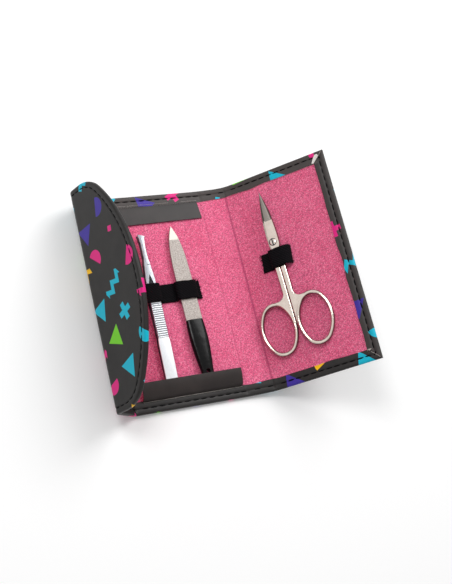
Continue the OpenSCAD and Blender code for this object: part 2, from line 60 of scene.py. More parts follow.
EDGE_Z = 2.5  # height of the turned edge over the outer face
FACE_Z = 2.0  # height of the felt
BAND_Z = FACE_Z + 0.5  # height of an elastic's middle where it lies on the felt
SKIN = 0.5  # thickness of the vinyl, and height of the creases
ROUND = 0.9  # radius of the turned edge
SEAM = 2.8  # distance of the stitches from the edge
LIP = 6.0  # width of the turned edge
FELT_IN = 1.2  # distance of the felt's edge from the case's edge
COVER_END = 101.55
FOLD = 2.2  # half the width of the strip that bends at a crease
# The creases, outermost first: where each is, how far the panel beyond it is raised, towards +s
# or -s, how far to each side the skin is bent round, and the bodies on its two sides
CREASES = [
    ("side_flap", -47.15, 62.0, -1, 2.2, "side_band", "flap"),
    ("back_side", -29.75, 48.0, -1, 2.2, "back", "side_band"),
    ("spine_cover", 44.35, 35.0, 1, 5.5, "spine", "cover"),
    ("back_spine", 29.75, 8.0, 1, 7.0, "back", "spine"),
]
CREASE = {name: at for name, at, *_ in CREASES}
# The panels between two creases: their pieces' name, their body, and where they start and end
PANELS = [
    ("back", "back", CREASE["back_side"], CREASE["back_spine"]),
    ("spine", "spine", CREASE["back_spine"], CREASE["spine_cover"]),
    ("side", "side_band", CREASE["side_flap"], CREASE["back_side"]),
]


# ---- Materials: a pattern's scale is one over its size in millimetres ----


def linear(code):
    """An sRGB hex colour as Blender's linear one."""
    parts = [int(code[i : i + 2], 16) / 255 for i in (1, 3, 5)]
    return (*[c / 12.92 if c <= 0.04045 else ((c + 0.055) / 1.055) ** 2.4 for c in parts], 1.0)


def add(tree, kind, inputs=(), out=0, stops=(), **settings):
    """Adds a node with its settings, inputs and colour stops, and gives one of its outputs.

    A word after the kind is its operation. Inputs come by name or number, or all in order.
    """
    kind, _, operation = kind.partition(" ")
    made = tree.nodes.new(kind if "Node" in kind else "ShaderNode" + kind)
    if operation:
        made.operation = operation
    for name, value in settings.items():
        setattr(made, name, value)
    for name, value in (inputs if isinstance(inputs, dict) else dict(enumerate(inputs))).items():
        if isinstance(value, bpy.types.NodeSocket):
            tree.links.new(value, made.inputs[name])
        else:
            made.inputs[name].default_value = value
    if stops:
        while len(made.color_ramp.elements) < len(stops):
            made.color_ramp.elements.new(0.5)
        for element, (place, tone) in zip(made.color_ramp.elements, stops):
            element.position = place
            element.color = linear(tone) if isinstance(tone, str) else (tone, tone, tone, 1)
    return made.outputs[out] if made.outputs else None


def substance(name, **sockets):
    """A new material with its shader's constant sockets set."""
    made = bpy.data.materials.new(name)
    made.use_nodes = True
    shader = made.node_tree.nodes["Principled BSDF"]
    for socket, value in sockets.items():
        shader.inputs[socket.replace("_", " ")].default_value = value
    return made, made.node_tree


def surface(tree, height, depth, strength, **drawn):
    """Gives the shader its drawn sockets, and a relief of a depth in millimetres."""
    relief = {"Height": height, "Distance": depth * MM, "Strength": strength}
    drawn["Normal"] = add(tree, "Bump", relief)
    for socket, source in drawn.items():
        shader = tree.nodes["Principled BSDF"]
        tree.links.new(source, shader.inputs[socket.replace("_", " ")])


def flat_mm(tree):
    """The piece's flat pattern in millimetres: its UV map holds hundredths of that."""
    uv = add(tree, "UVMap", uv_map="flat")
    return add(tree, "VectorMath SCALE", {0: uv, "Scale": 100.0})


def place_mm(tree):
    """Object coordinates in millimetres."""
    at = add(tree, "TexCoord", out="Object")
    return add(tree, "VectorMath SCALE", {0: at, "Scale": 1000.0})


def painted_lip_sheen(tree, mm, colour):
    """Painted sheen: where the vinyl is turned over the +y edge and over the cover's end, its lips
    are painted paler, for the gloss these lips catch from the lamps.
    """
    flat = add(tree, "SeparateXYZ", (mm,)).node.outputs
    painted_light_share = []
    for run, edge, most in (("Y", HALF, 0.75), ("X", COVER_END, 0.5)):
        past = add(tree, "Math SUBTRACT", (flat[run], edge + 1.0))
        share = add(tree, "Math MULTIPLY", (past, 0.6))
        painted_light_share.append(add(tree, "Clamp", {"Value": share, "Max": most}))
    painted_light_share = add(tree, "Math MAXIMUM", painted_light_share)
    return add(tree, "Mix", {0: painted_light_share, 6: colour, 7: linear("#484240")}, 2, data_type="RGBA")


def confetti(tree, mm, colour):
    """The print: each 17 mm cell of a loose grid holds one motif, turned by chance."""
    turned = add(tree, "VectorRotate", {"Vector": mm, "Angle": 0.45}, rotation_type="Z_AXIS")
    moved = add(tree, "VectorMath ADD", (turned, (12.0, 47.0, 0.0)))
    grid = {"Vector": moved, "Scale": 1 / 17.0, "Randomness": 0.35}
    cells = add(tree, "TexVoronoi", grid, voronoi_dimensions="2D").node.outputs
    chance = add(tree, "SeparateColor", (cells["Color"],)).node.outputs
    local = add(tree, "VectorMath SUBTRACT", (moved, cells["Position"]))
    angle = add(tree, "Math MULTIPLY", (chance["Red"], 6.283))
    own = add(tree, "VectorRotate", {"Vector": local, "Angle": angle}, rotation_type="Z_AXIS")
    x, y = add(tree, "SeparateXYZ", (own,)).node.outputs[:2]
    wide = add(tree, "Math ABSOLUTE", (x,))
    tall = add(tree, "Math ABSOLUTE", (y,))
    # Every motif is how far a point lies outside of it, in millimetres
    side = add(tree, "Math MULTIPLY_ADD", (y, -0.5, add(tree, "Math MULTIPLY", (wide, 0.866))))
    triangle = add(tree, "Math SUBTRACT", (add(tree, "Math MAXIMUM", (y, side)), 3.1))
    wave = add(tree, "Math PINGPONG", (add(tree, "Math ADD", (x, 126.0)), 3.0))
    wave = add(tree, "Math MULTIPLY", (add(tree, "Math SUBTRACT", (wave, 1.5)), 1.1))
    ripple = add(tree, "Math ABSOLUTE", (add(tree, "Math SUBTRACT", (y, wave)),))
    ripple = add(tree, "Math SUBTRACT", (ripple, 1.7))
    zigzag = add(tree, "Math MAXIMUM", (ripple, add(tree, "Math SUBTRACT", (wide, 7.0))))
    reach = add(tree, "VectorMath LENGTH", (own,), "Value")
    round_side = add(tree, "Math SUBTRACT", (reach, 4.6))
    half_disc = add(tree, "Math MAXIMUM", (round_side, add(tree, "Math SUBTRACT", (-0.6, y))))
    most = add(tree, "Math MAXIMUM", (wide, tall))
    small = add(tree, "Math SUBTRACT", (most, 1.35))
    arms = add(tree, "Math SUBTRACT", (add(tree, "Math MINIMUM", (wide, tall)), 1.35))
    cross = add(tree, "Math MAXIMUM", (arms, add(tree, "Math SUBTRACT", (most, 4.2))))
    shape = triangle
    for other, start in ((zigzag, 0.24), (half_disc, 0.5), (cross, 0.68), (small, 0.84)):
        chosen = add(tree, "Math GREATER_THAN", (chance["Green"], start))
        shape = add(tree, "Mix", {0: chosen, 2: shape, 3: other})
    inks = [(0.0, "#00b6d0"), (0.3, "#e01880"), (0.55, "#f8bf00"), (0.72, "#74cf22")]
    ink = add(tree, "ValToRGB", (chance["Blue"],), stops=inks + [(0.88, "#3c2a98")])
    ink.node.color_ramp.interpolation = "CONSTANT"
    inside = add(tree, "MapRange", {"Value": shape, "From Min": 0.05, "From Max": -0.05})
    return add(tree, "Mix", {0: inside, 6: colour, 7: ink}, 2, data_type="RGBA")


def vinyl(name, ground, printed=False):
    """Calendered PVC on a cloth backing: a soft sheen over faint clouds and a pressed-in grain."""
    made, tree = substance(name, Roughness=0.46, Specular_IOR_Level=0.3)
    mm = flat_mm(tree)
    cloud = add(tree, "TexNoise", {"Vector": mm, "Scale": 1 / 8.333, "Detail": 3.0})
    colour = add(tree, "ValToRGB", (cloud,), stops=[(0.3, ground[0]), (0.7, ground[1])])
    if printed:
        # The print lies on a ground with painted sheen on two of its lips
        colour = confetti(tree, mm, painted_lip_sheen(tree, mm, colour))
    grain = add(tree, "TexVoronoi", {"Vector": mm, "Scale": 1 / 0.5556}, feature="SMOOTH_F1")
    surface(tree, grain, 0.05, 0.35, Base_Color=colour)
    return made


def felted(name):
    """Pressed polyester felt: matt and mottled, with pale and dark fibres strewn through it.

    A real fibre is thinner than a pixel, so each is drawn as a stroke of about half a millimetre.
    """
    made, tree = substance(
        name, Roughness=0.95, Sheen_Weight=0.25, Sheen_Roughness=0.6, Specular_IOR_Level=0.15
    )
    mm = flat_mm(tree)
    cloud = add(tree, "TexNoise", {"Vector": mm, "Scale": 1 / 20.0})
    colour = add(tree, "ValToRGB", (cloud,), stops=[(0.35, "#ee6890"), (0.65, "#f6769e")])
    lay = {"Vector": mm, "Scale": 1 / 0.7692, "Detail": 4.0, "Roughness": 0.7}
    fuzz = {"Vector": mm, "Scale": 1 / 0.4762, "Roughness": 0.6}
    lay, fuzz = add(tree, "TexNoise", lay), add(tree, "TexNoise", fuzz).node.outputs
    spread = add(tree, "VectorMath SCALE", {0: fuzz["Color"], "Scale": 0.5})
    strokes = {"Vector": add(tree, "VectorMath ADD", (mm, spread)), "Scale": 1 / 0.5263}
    fibres = add(tree, "TexVoronoi", strokes, voronoi_dimensions="2D").node.outputs
    own = add(tree, "SeparateColor", (fibres["Color"],)).node.outputs
    near = add(tree, "ValToRGB", (fibres["Distance"],), stops=[(0.22, 1.0), (0.48, 0.0)])
    mottle = add(tree, "ValToRGB", (lay,), stops=[(0.38, 0.72), (0.6, 0.0)])
    tints = [(mottle, "#c8446e")]
    for channel, stops, strength, code in (
        ("Green", [(0.62, 0.0), (0.7, 1.0)], 0.7, "#ffb3c9"),
        ("Red", [(0.3, 1.0), (0.42, 0.0)], 0.8, "#842847"),
    ):
        picked = add(tree, "ValToRGB", (own[channel],), stops=stops)
        fibre = add(tree, "Math MULTIPLY", (near, picked))
        tints.append((add(tree, "Math MULTIPLY", (fibre, strength)), code))
    # Painted shade: the lines pressed in at the creases are painted darker
    s, lines = add(tree, "SeparateXYZ", (mm,)), []
    for crease, width, depth in (("back_spine", 0.5, 0.7), ("spine_cover", 1.0, 0.75)):
        off = add(tree, "Math ABSOLUTE", (add(tree, "Math SUBTRACT", (s, CREASE[crease])),))
        line = add(tree, "Math SUBTRACT", (width, off))
        lines.append(add(tree, "Math MULTIPLY", (line, depth)))
    crease_shade = add(tree, "Clamp", {"Value": add(tree, "Math MAXIMUM", lines), "Max": 0.8})
    for share, code in tints + [(crease_shade, "#a5315c")]:
        colour = add(tree, "Mix", {0: share, 6: colour, 7: linear(code)}, 2, data_type="RGBA")
    surface(tree, fuzz["Fac"], 0.3, 0.6, Base_Color=colour)
    return made


def woven(name):
    """Knitted black elastic: dull, with ribs along it and slanting picks.

    Its real ribs are too fine to show, so they are drawn 0.6 mm apart and the picks 0.75 mm.
    """
    made, tree = substance(name, Roughness=0.9, Specular_IOR_Level=0.08)
    mm = flat_mm(tree)
    bands = []
    for apart, wander, way in ((0.6042, 0.6, "Y"), (0.748, 0.8, "DIAGONAL")):
        # A band of the wave texture is a tenth of pi wide at a scale of one
        wave = {"Vector": mm, "Scale": math.pi / 10 / apart, "Distortion": wander, "Detail": 1.0}
        bands.append(add(tree, "TexWave", wave, "Fac", bands_direction=way))
    height = add(tree, "Math MULTIPLY_ADD", (bands[0], 0.6, bands[1]))
    colour = add(tree, "ValToRGB", (height,), stops=[(0.3, "#020203"), (1.0, "#141215")])
    surface(tree, height, 0.18, 0.8, Base_Color=colour)
    return made


def plain(name, tones, grain, depth, **sockets):
    """One substance through and through: its tone a little uneven, its surface finely rough."""
    made, tree = substance(name, **sockets)
    mm = place_mm(tree)
    cloud = add(tree, "TexNoise", {"Vector": mm, "Scale": 1 / 3.333, "Detail": 3.0})
    colour = add(tree, "ValToRGB", (cloud,), stops=[(0.3, tones[0]), (0.7, tones[1])])
    fine = add(tree, "TexNoise", {"Vector": mm, "Scale": 1 / grain})
    surface(tree, fine, depth, 0.5, Base_Color=colour)
    return made


def brushed(name, tones, line, roughness, depth):
    """Metal with fine grinding lines, which draw its highlights out: their width and length."""
    made, tree = substance(name, Metallic=1.0, Roughness=roughness)
    scale = (1 / line[0], 1 / line[1], 1 / line[0])
    drawn = add(tree, "Mapping", {"Vector": place_mm(tree), "Scale": scale})
    lines = add(tree, "TexNoise", {"Vector": drawn, "Scale": 1.0, "Detail": 3.0})
    colour = add(tree, "ValToRGB", (lines,), stops=[(0.3, tones[0]), (0.7, tones[1])])
    surface(tree, lines, depth, 0.5, Base_Color=colour)
    return made


def plated(name):
    """Warm nickel plate, bright on its faces, with painted dark reflections on its sides and
    undersides.
    """
    made, tree = substance(name, Metallic=1.0, Roughness=0.14)
    mm = place_mm(tree)
    cloud = add(tree, "TexNoise", {"Vector": mm, "Scale": 1 / 2.857, "Detail": 3.0})
    bright = add(tree, "ValToRGB", (cloud,), stops=[(0.3, "#e0d0c5"), (0.7, "#ecded3")])
    # Painted reflection: the less a point faces up, the more of the dark tone it is painted
    facing = add(tree, "Attribute", out="Fac", attribute_name="facing")
    painted_light_share = add(tree, "Math MULTIPLY_ADD", (cloud, 0.12, facing))
    painted_dark_share = add(tree, "ValToRGB", (painted_light_share,), stops=[(0.3, 0.92), (0.72, 0.5), (0.94, 0.0)])
    colour = add(tree, "Mix", {0: painted_dark_share, 6: bright, 7: linear("#4b423c")}, 2, data_type="RGBA")
    fine = add(tree, "TexNoise", {"Vector": mm, "Scale": 1 / 1.667})
    surface(tree, fine, 0.05, 0.5, Base_Color=colour)
    return made


def gritted(name):
    """Steel with crushed grit bonded on: a matt, pale speckle. The point is bare and brighter."""
    made, tree = substance(name, Metallic=0.55)
    mm = place_mm(tree)
    speckle = {"Vector": mm, "Scale": 1 / 0.6667, "Detail": 3.0, "Roughness": 0.8}
    grit = add(tree, "TexNoise", speckle)
    stops = [(0.3, "#7e7772"), (0.5, "#a7a09a"), (0.7, "#cdc6bf")]
    colour = add(tree, "ValToRGB", (grit,), stops=stops)
    y = add(tree, "SeparateXYZ", (mm,), "Y")
    edge = add(tree, "Math MULTIPLY_ADD", (grit, 0.8, y))
    bare = add(tree, "MapRange", {"Value": edge, "From Min": 29.6, "From Max": 29.9})
    colour = add(tree, "Mix", {0: bare, 6: colour, 7: linear("#b3afa4")}, 2, data_type="RGBA")
    rough = add(tree, "Math MULTIPLY_ADD", (bare, -0.25, 0.6))
    height = add(tree, "Math MULTIPLY", (grit, add(tree, "Math SUBTRACT", (1.0, bare))))
    surface(tree, height, 0.12, 0.8, Base_Color=colour, Roughness=rough)
    return made


printed_vinyl = vinyl("printed_vinyl", ("#1c1a19", "#242120"), printed=True)
# The two strips' grounds differ: the lower is a warmer brown, and the upper is painted paler, a
# painted sheen for the light its flat face takes
upper_strip_vinyl = vinyl("upper_strip_vinyl", ("#2d2a29", "#363231"))
lower_strip_vinyl = vinyl("lower_strip_vinyl", ("#241e1d", "#2f2826"))
pink_felt = felted("pink_felt")
black_elastic = woven("black_elastic")
nickel = plated("polished_nickel")
grit_steel = gritted("grit_steel")
# Cut vinyl shows the pale cloth it is backed with, furry and without a shine. Waxed thread has a
# dull gleam, its loose fibres have none. Moulded plastic takes a long soft highlight, greyboard
# is dull and flecked. Shaded steel is painted shade, for steel that lies in its own shadow, in
# grooves and between the arms
raw_edge, backing, black_thread, black_fibre, gloss_black, greyboard, shaded_steel = (
    plain(name, tones, grain, depth, Roughness=rough, Specular_IOR_Level=shine)
    for name, tones, grain, depth, rough, shine in (
        ("raw_vinyl_edge", ("#8b857f", "#c6c0b9"), 1 / 6, 0.05, 0.9, 0.5),
        ("raw_cloth_backing", ("#dcd8d0", "#efece6"), 1 / 5, 0.06, 0.95, 0.5),
        ("black_thread", ("#040405", "#0b0b0c"), 1 / 8, 0.05, 0.7, 0.1),
        ("black_fibre", ("#050506", "#101012"), 1 / 8, 0.05, 0.9, 0.1),
        ("gloss_black_handle", ("#070708", "#0c0c0d"), 2.5, 0.1, 0.2, 0.16),
        ("greyboard", ("#a8977a", "#bfae90"), 1 / 3, 0.08, 0.9, 0.5),
        ("shaded_steel", ("#33343a", "#45464b"), 1 / 3, 0.05, 0.6, 0.2),
    )
)
# The blades are ground across, the tweezers along, and the closure has no direction
ground, drawn, even = (1 / 14, 1 / 3), (1 / 8, 1 / 0.6), (1 / 5, 1 / 5)
ground_nickel = brushed("ground_nickel", ("#8c867f", "#a8a19a"), ground, 0.34, 0.03)
# Painted reflection: a darker nickel painted on the blades' rims
rim_reflection_nickel = brushed("painted_rim_reflection", ("#4a4540", "#5c5650"), ground, 0.4, 0.03)
satin_steel = brushed("satin_steel", ("#d9dbdf", "#eceef0"), drawn, 0.3, 0.02)
tip_steel = brushed("ground_tip_steel", ("#83868b", "#9da0a5"), drawn, 0.34, 0.02)
# Painted shade: a darker steel painted between the tweezers' grip ribs
groove_shade_steel = brushed("groove_shade_steel", ("#686b70", "#83868b"), drawn, 0.4, 0.02)
closure_metal = brushed("closure_metal", ("#84888d", "#9a9ea3"), even, 0.4, 0.02)


# ---- Meshes ----


def part_of(t):
    """t, kept between nothing and the whole."""
    return min(1.0, max(0.0, t))


def ease(t):
    t = part_of(t)
    return t * t * (3 - 2 * t)


def dent(off, width):
    """A smooth dent's depth, from 1 in its middle to nothing a few widths off."""
    return math.exp(-((off / width) ** 2))


def turns(first, last, step):
    """Angles from first to last degree, in radians."""
    return [math.radians(d) for d in range(first, last + 1, step)]


def full_turn(count):
    return [2 * math.pi * k / count for k in range(count)]


def steps(a, b, size):
    count = max(1, round(abs(b - a) / size))
    return [a + (b - a) * i / count for i in range(count + 1)]


def finely(route, size):
    """A route's points, with more between them about a size apart."""
    fine = []
    for a, b in zip(route, route[1:]):
        count = max(1, round(math.dist(a, b) / size))
        fine += [tuple(p + (q - p) * i / count for p, q in zip(a, b)) for i in range(count)]
    return fine + [tuple(route[-1])]


def uneven(s, y, size, seed):
    return noise.noise(Vector((s / size, y / size, seed)))


def raised(name):
    """Turns what lies beyond a crease up as far as it stands open."""
    angle, way = next(crease[2:4] for crease in CREASES if crease[0] == name)
    here = Vector((CREASE[name], 0, SKIN))
    turn = Matrix.Rotation(math.radians(-angle * way), 4, "Y")
    return Matrix.Translation(here) @ turn @ Matrix.Translation(-here)


def stand(s, y, w):
    """Where a point of the flat pattern is when the case stands open."""
    at = Vector((s, y, w))
    for name, middle, angle, way, reach, _, _ in CREASES:
        beyond = (s - middle) * way
        if beyond >= reach:
            at = raised(name) @ at
        elif beyond > -reach:
            whole = math.radians(angle)
            turn, radius = whole * (beyond + reach) / (2 * reach), reach / math.tan(whole / 2)
            out = (radius - (w - SKIN)) * math.sin(turn) - reach
            up = radius - (radius - (w - SKIN)) * math.cos(turn)
            at = Vector((middle + way * out, y, SKIN + up))
    return at


def put(name, data):
    """A new object in the scene."""
    piece = bpy.data.objects.new(name, data)
    bpy.context.scene.collection.objects.link(piece)
    return piece


def make(name, points, faces, finishes, flat=None, slots=None, sharp=40):
    """A mesh object; flat holds each point's place in the flat pattern."""
    mesh = bpy.data.meshes.new(name)
    mesh.from_pydata([tuple(p) for p in points], [], faces)
    for finish in finishes:
        mesh.materials.append(finish)
    if slots:
        mesh.polygons.foreach_set("material_index", slots)
    if flat:
        layer = mesh.uv_layers.new(name="flat")
        for loop in mesh.loops:
            u, v = flat[loop.vertex_index]
            layer.data[loop.index].uv = (u / 100, v / 100)
    mesh.validate()
    piece = put(name, mesh)
    piece["sharp"] = sharp
    return piece


def weld(mesh, gap):
    """Joins a mesh's points that lie closer than the gap, and faces it outwards."""
    work = bmesh.new()
    work.from_mesh(mesh)
    bmesh.ops.remove_doubles(work, verts=work.verts, dist=gap)
    bmesh.ops.recalc_face_normals(work, faces=work.faces)
    return work


def settle(piece, place=None, recalc=False, scale=MM):
    """Applies the modifiers, welds the mesh if asked, and stands it in place in metres."""
    graph = bpy.context.evaluated_depsgraph_get()
    mesh = bpy.data.meshes.new_from_object(piece.evaluated_get(graph), depsgraph=graph)
    mesh.name = piece.name
    piece.modifiers.clear()
    piece.data = mesh
    if recalc:
        work = weld(mesh, 1e-4)
        work.to_mesh(mesh)
        work.free()
    if place is not None:
        mesh.transform(place)
    mesh.transform(Matrix.Scale(scale, 4))
    mesh.shade_smooth()
    mesh.set_sharp_from_angle(angle=math.radians(piece["sharp"]))
    del piece["sharp"]
    return piece


def thicken(piece, thickness, **settings):
    """Gives a sheet its thickness behind its face, and settles it."""
    wall = piece.modifiers.new("wall", "SOLIDIFY")
    wall.thickness, wall.offset = thickness, -1
    for name, value in settings.items():
        setattr(wall, name, value)
    return settle(piece)


def quads(rows, columns, start=0, closed=False):
    """Faces of a grid whose points are listed row by row."""
    faces = []
    for r in range(rows - 1):
        for c in range(columns if closed else columns - 1):
            d = (c + 1) % columns
            a = start + r * columns
            faces.append((a + c, a + d, a + columns + d, a + columns + c))
    return faces


def capped(rows, count, start=0):
    """Faces of a rod through loops of points, with its two ends."""
    last = start + (rows - 1) * count
    ends = [tuple(range(start + count - 1, start - 1, -1)), tuple(range(last, last + count))]
    return quads(rows, count, start, closed=True) + ends


def loft(name, loops, finishes, closed=False, **more):
    """A body through loops of points, its ends capped unless the last loop meets the first."""
    count, points = len(loops[0]), [p for loop in loops for p in loop]
    if closed:
        last = (len(loops) - 1) * count
        faces = quads(len(loops), count, closed=True)
        faces += [(last + c, last + (c + 1) % count, (c + 1) % count, c) for c in range(count)]
    else:
        faces = capped(len(loops), count)
    return make(name, points, faces, finishes, **more)


def cut_out(piece, shape, place=None, scale=MM):
    """Cuts the shape through the loops given out of a piece, and settles it."""
    cutter = loft("cutter", shape, [])
    cut = piece.modifiers.new("cut", "BOOLEAN")
    cut.operation, cut.object, cut.solver = "DIFFERENCE", cutter, "EXACT"
    settle(piece, place, recalc=True, scale=scale)
    bpy.data.objects.remove(cutter)


def paint(piece, finish, where):
    """Gives one of its finishes to the faces whose middles lie where asked."""
    for face in piece.data.polygons:
        if where(*face.center):
            face.material_index = finish


def upright(outline, *heights):
    """Loops that carry an outline up through some heights."""
    return [[(x, y, z) for x, y in outline] for z in heights]


def dress(piece, body, slot, *nodes):
    if nodes:
        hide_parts(*nodes)
    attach(piece, body)
    return piece


# ---- Case skins and felt ----


def edge_rows():
    """Rows of the skin's outer surface at an edge, from the plate round to the lip's end: how
    far in from the edge, how high, and how far in on the flat pattern."""
    rows, pull = [], 0.35  # the seam pulls the vinyl in over this width
    for inset in (3.6, 3.15, 2.8, 2.45, 2.0, 1.4):
        rows.append((inset, 0.22 * dent(inset - SEAM, pull), inset))
    for a in turns(0, 90, 18):
        rows.append((ROUND * (1 - math.sin(a)), ROUND * (1 - math.cos(a)), ROUND - ROUND * a))
    for a in turns(0, 90, 18):
        run = ROUND * math.pi / 2 + EDGE_Z - 2 * ROUND + ROUND * a
        rows.append((ROUND * (1 - math.cos(a)), EDGE_Z - ROUND * (1 - math.sin(a)), ROUND - run))
    for inset in (1.4, 2.0, 2.45, 2.8, 3.15, 3.6, 4.4, 5.2, LIP):
        run = ROUND * math.pi + EDGE_Z - 2 * ROUND + inset - ROUND
        low = 0.28 * dent(inset - SEAM, pull) + 0.1 * ease((inset - 4) / 2)
        rows.append((inset, EDGE_Z - low, ROUND - run))
    return rows


EDGE_ROWS = edge_rows()
PLATE = EDGE_ROWS[0][0]  # distance of the flat plate from the edge


def skin(name, plate, rims, crease=None):
    """One panel's vinyl: a flat plate and the edges that are turned over, as one sheet."""
    points = [(s, y, 0.0) for row in plate for s, y in row]
    flat = [(s, y) for row in plate for s, y in row]
    faces = quads(len(plate), len(plate[0]))
    for stations in rims:
        start = len(points)
        for (s, y), (ns, ny) in stations:
            mitred = abs(ns) + abs(ny) > 1.5
            for inset, w, flat_inset in EDGE_ROWS:
                if w > 1.5 and inset > 1:
                    # The lip lies a little unevenly, lower where it is mitred or creased
                    if mitred:
                        w -= 0.25 * ease((inset - 1) / 1.5)
                    elif inset > 4.5:
                        inset += 0.55 * uneven(s, y, 9, 3.1) * (inset - 4.5) / 1.5
                    if crease is not None:
                        w -= 0.28 * dent(s - crease, 0.8) * ease(inset / 2)
                    w += 0.1 * uneven(s + 7, y, 6, 5.5)
                points.append((s + ns * inset, y + ny * inset, w))
                flat.append((s + ns * flat_inset, y + ny * flat_inset))
        faces += quads(len(stations), len(EDGE_ROWS), start)
    piece = make(name, points, faces, [printed_vinyl, raw_edge], flat)
    work = weld(piece.data, 1e-3)
    lowest = min(work.faces, key=lambda f: f.calc_center_median().z)
    if lowest.normal.z > 0:
        bmesh.ops.reverse_faces(work, faces=work.faces)
    for v in work.verts:
        v.co = stand(*v.co)
    work.to_mesh(piece.data)
    work.free()
    return thicken(piece, SKIN - 0.04, use_even_offset=True, material_offset_rim=1)


def felt(name, grid, crease=None):
    """The liner: one layer of felt, with a pressed line where it is creased."""
    points, flat = [], []
    for s, y in (at for row in grid for at in row):
        w = FACE_Z - 0.05 + 0.06 * uneven(s, y, 7, 1.7)
        if crease is not None:
            w -= 0.3 * dent(s - crease, 0.28)
        points.append(stand(s, y, w))
        flat.append((s, y))
    piece = make(name, points, quads(len(grid), len(grid[0])), [pink_felt], flat)
    up = stand(*flat[0], 1) - stand(*flat[0], 0)
    if piece.data.polygons[0].normal.dot(up) < 0:
        piece.data.flip_normals()
    return thicken(piece, 0.46)


def liner_grid(across):
    return [[(s, y) for y in steps(-HALF + FELT_IN, HALF - FELT_IN, 2.5)] for s in across]


def straight_panel(s0, s1, size=3.0):
    """Plate, rims and liner grid of a panel that is turned at its two ends only."""
    across = steps(s0, s1, size)
    plate = [[(s, y) for y in steps(-HALF + PLATE, HALF - PLATE, 5)] for s in across]
    rims = [[((s, side * HALF), (0, -side)) for s in across] for side in (1, -1)]
    return plate, rims, liner_grid(across)


for panel, body, s0, s1 in PANELS:
    plate, rims, liner = straight_panel(s0 + FOLD, s1 - FOLD)
    dress(skin(f"{panel}_vinyl", plate, rims), body, "printed_vinyl", f"{panel}_skin")
    dress(felt(f"{panel}_felt", liner), body, "felt", f"{panel}_liner")

# Cover: turned on three sides, with mitred corners
across = steps(CREASE["spine_cover"] + FOLD, COVER_END - PLATE, 3)
along = steps(-HALF + PLATE, HALF - PLATE, 3)
cover_rim = [((s, HALF), (0, -1)) for s in across]
cover_rim += [((COVER_END, HALF), (-1, -1))]
cover_rim += [((COVER_END, y), (-1, 0)) for y in reversed(along)]
cover_rim += [((COVER_END, -HALF), (-1, 1))]
cover_rim += [((s, -HALF), (0, 1)) for s in reversed(across)]
cover_plate = [[(s, y) for y in along] for s in across]
dress(skin("cover_vinyl", cover_plate, [cover_rim]), "cover", "printed_vinyl", "cover_skin")
liner = liner_grid(steps(CREASE["spine_cover"] + FOLD, COVER_END - FELT_IN, 3))
dress(felt("cover_felt", liner), "cover", "felt", "cover_liner")

# Flap: its free edge is a shallow arc, the brow, that runs into two corner arcs. u is how far a
# point lies beyond the crease
CORNER_R, FLAP_L, FLAP_SIDE = 18.0, 39.0, 8.0
corner_y = HALF - CORNER_R
brow_u = FLAP_SIDE**2 + corner_y**2 - (FLAP_L - CORNER_R) ** 2
brow_u /= 2 * (FLAP_SIDE - FLAP_L + CORNER_R)
BROW_R = FLAP_L - brow_u
brow_a = math.degrees(math.atan2(corner_y, FLAP_SIDE - brow_u))


def flap_rim():
    """Stations round the flap from one crease end to the other: point and inward normal."""
    half = [((u, HALF), (0.0, -1.0)) for u in steps(FOLD, FLAP_SIDE, 2)]
    for u0, y0, radius, a0, a1, size in (
        (FLAP_SIDE, corner_y, CORNER_R, 90, brow_a, 6),
        (brow_u, 0, BROW_R, brow_a, 0, 2.2),
    ):
        for a in steps(a0, a1, size)[1:]:
            c, s = math.cos(math.radians(a)), math.sin(math.radians(a))
            half.append(((u0 + radius * c, y0 + radius * s), (-c, -s)))
    other = [((u, -y), (nu, -ny)) for (u, y), (nu, ny) in reversed(half[:-1])]
    start = CREASE["side_flap"]
    return [((start - u, y), (-nu, ny)) for (u, y), (nu, ny) in half + other]


def flap_grid(rim, inset):
    """Rows from the crease to the flap's edge, as far in from it as asked."""
    start = CREASE["side_flap"] - FOLD
    ends = [(s + ns * inset, y + ny * inset) for (s, y), (ns, ny) in rim]
    ends = [e for i, e in enumerate(ends) if e[0] < start - 1e-6 or i in (0, len(ends) - 1)]
    # Along the flap's straight ends, only their corners are kept
    corner_s = start - FLAP_SIDE + FOLD + 1e-6
    ends = [e for e in ends if abs(e[1]) < HALF - inset - 1e-6 or e[0] < corner_s]
    return [[(start + (s - start) * t / 12, y) for s, y in ends] for t in range(13)]


rim = flap_rim()
dress(skin("flap_vinyl", flap_grid(rim, PLATE), [rim]), "flap", "printed_vinyl", "flap_skin")
dress(felt("flap_felt", flap_grid(rim, FELT_IN)), "flap", "felt", "flap_liner")


def bend(piece):
    """Bakes the transform of a piece that lies across a crease into its mesh."""
    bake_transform(piece)


for crease in reversed(CREASES):
    name, middle = crease[:2]
    plate, rims, liner = straight_panel(middle - FOLD, middle + FOLD, 0.4)
    bend(skin(f"{name}_vinyl_fold", plate, rims, middle))
    bend(felt(f"{name}_felt_fold", liner, middle))


# ---- Stitches, and later the tweezers' ribs, laid along lines ----


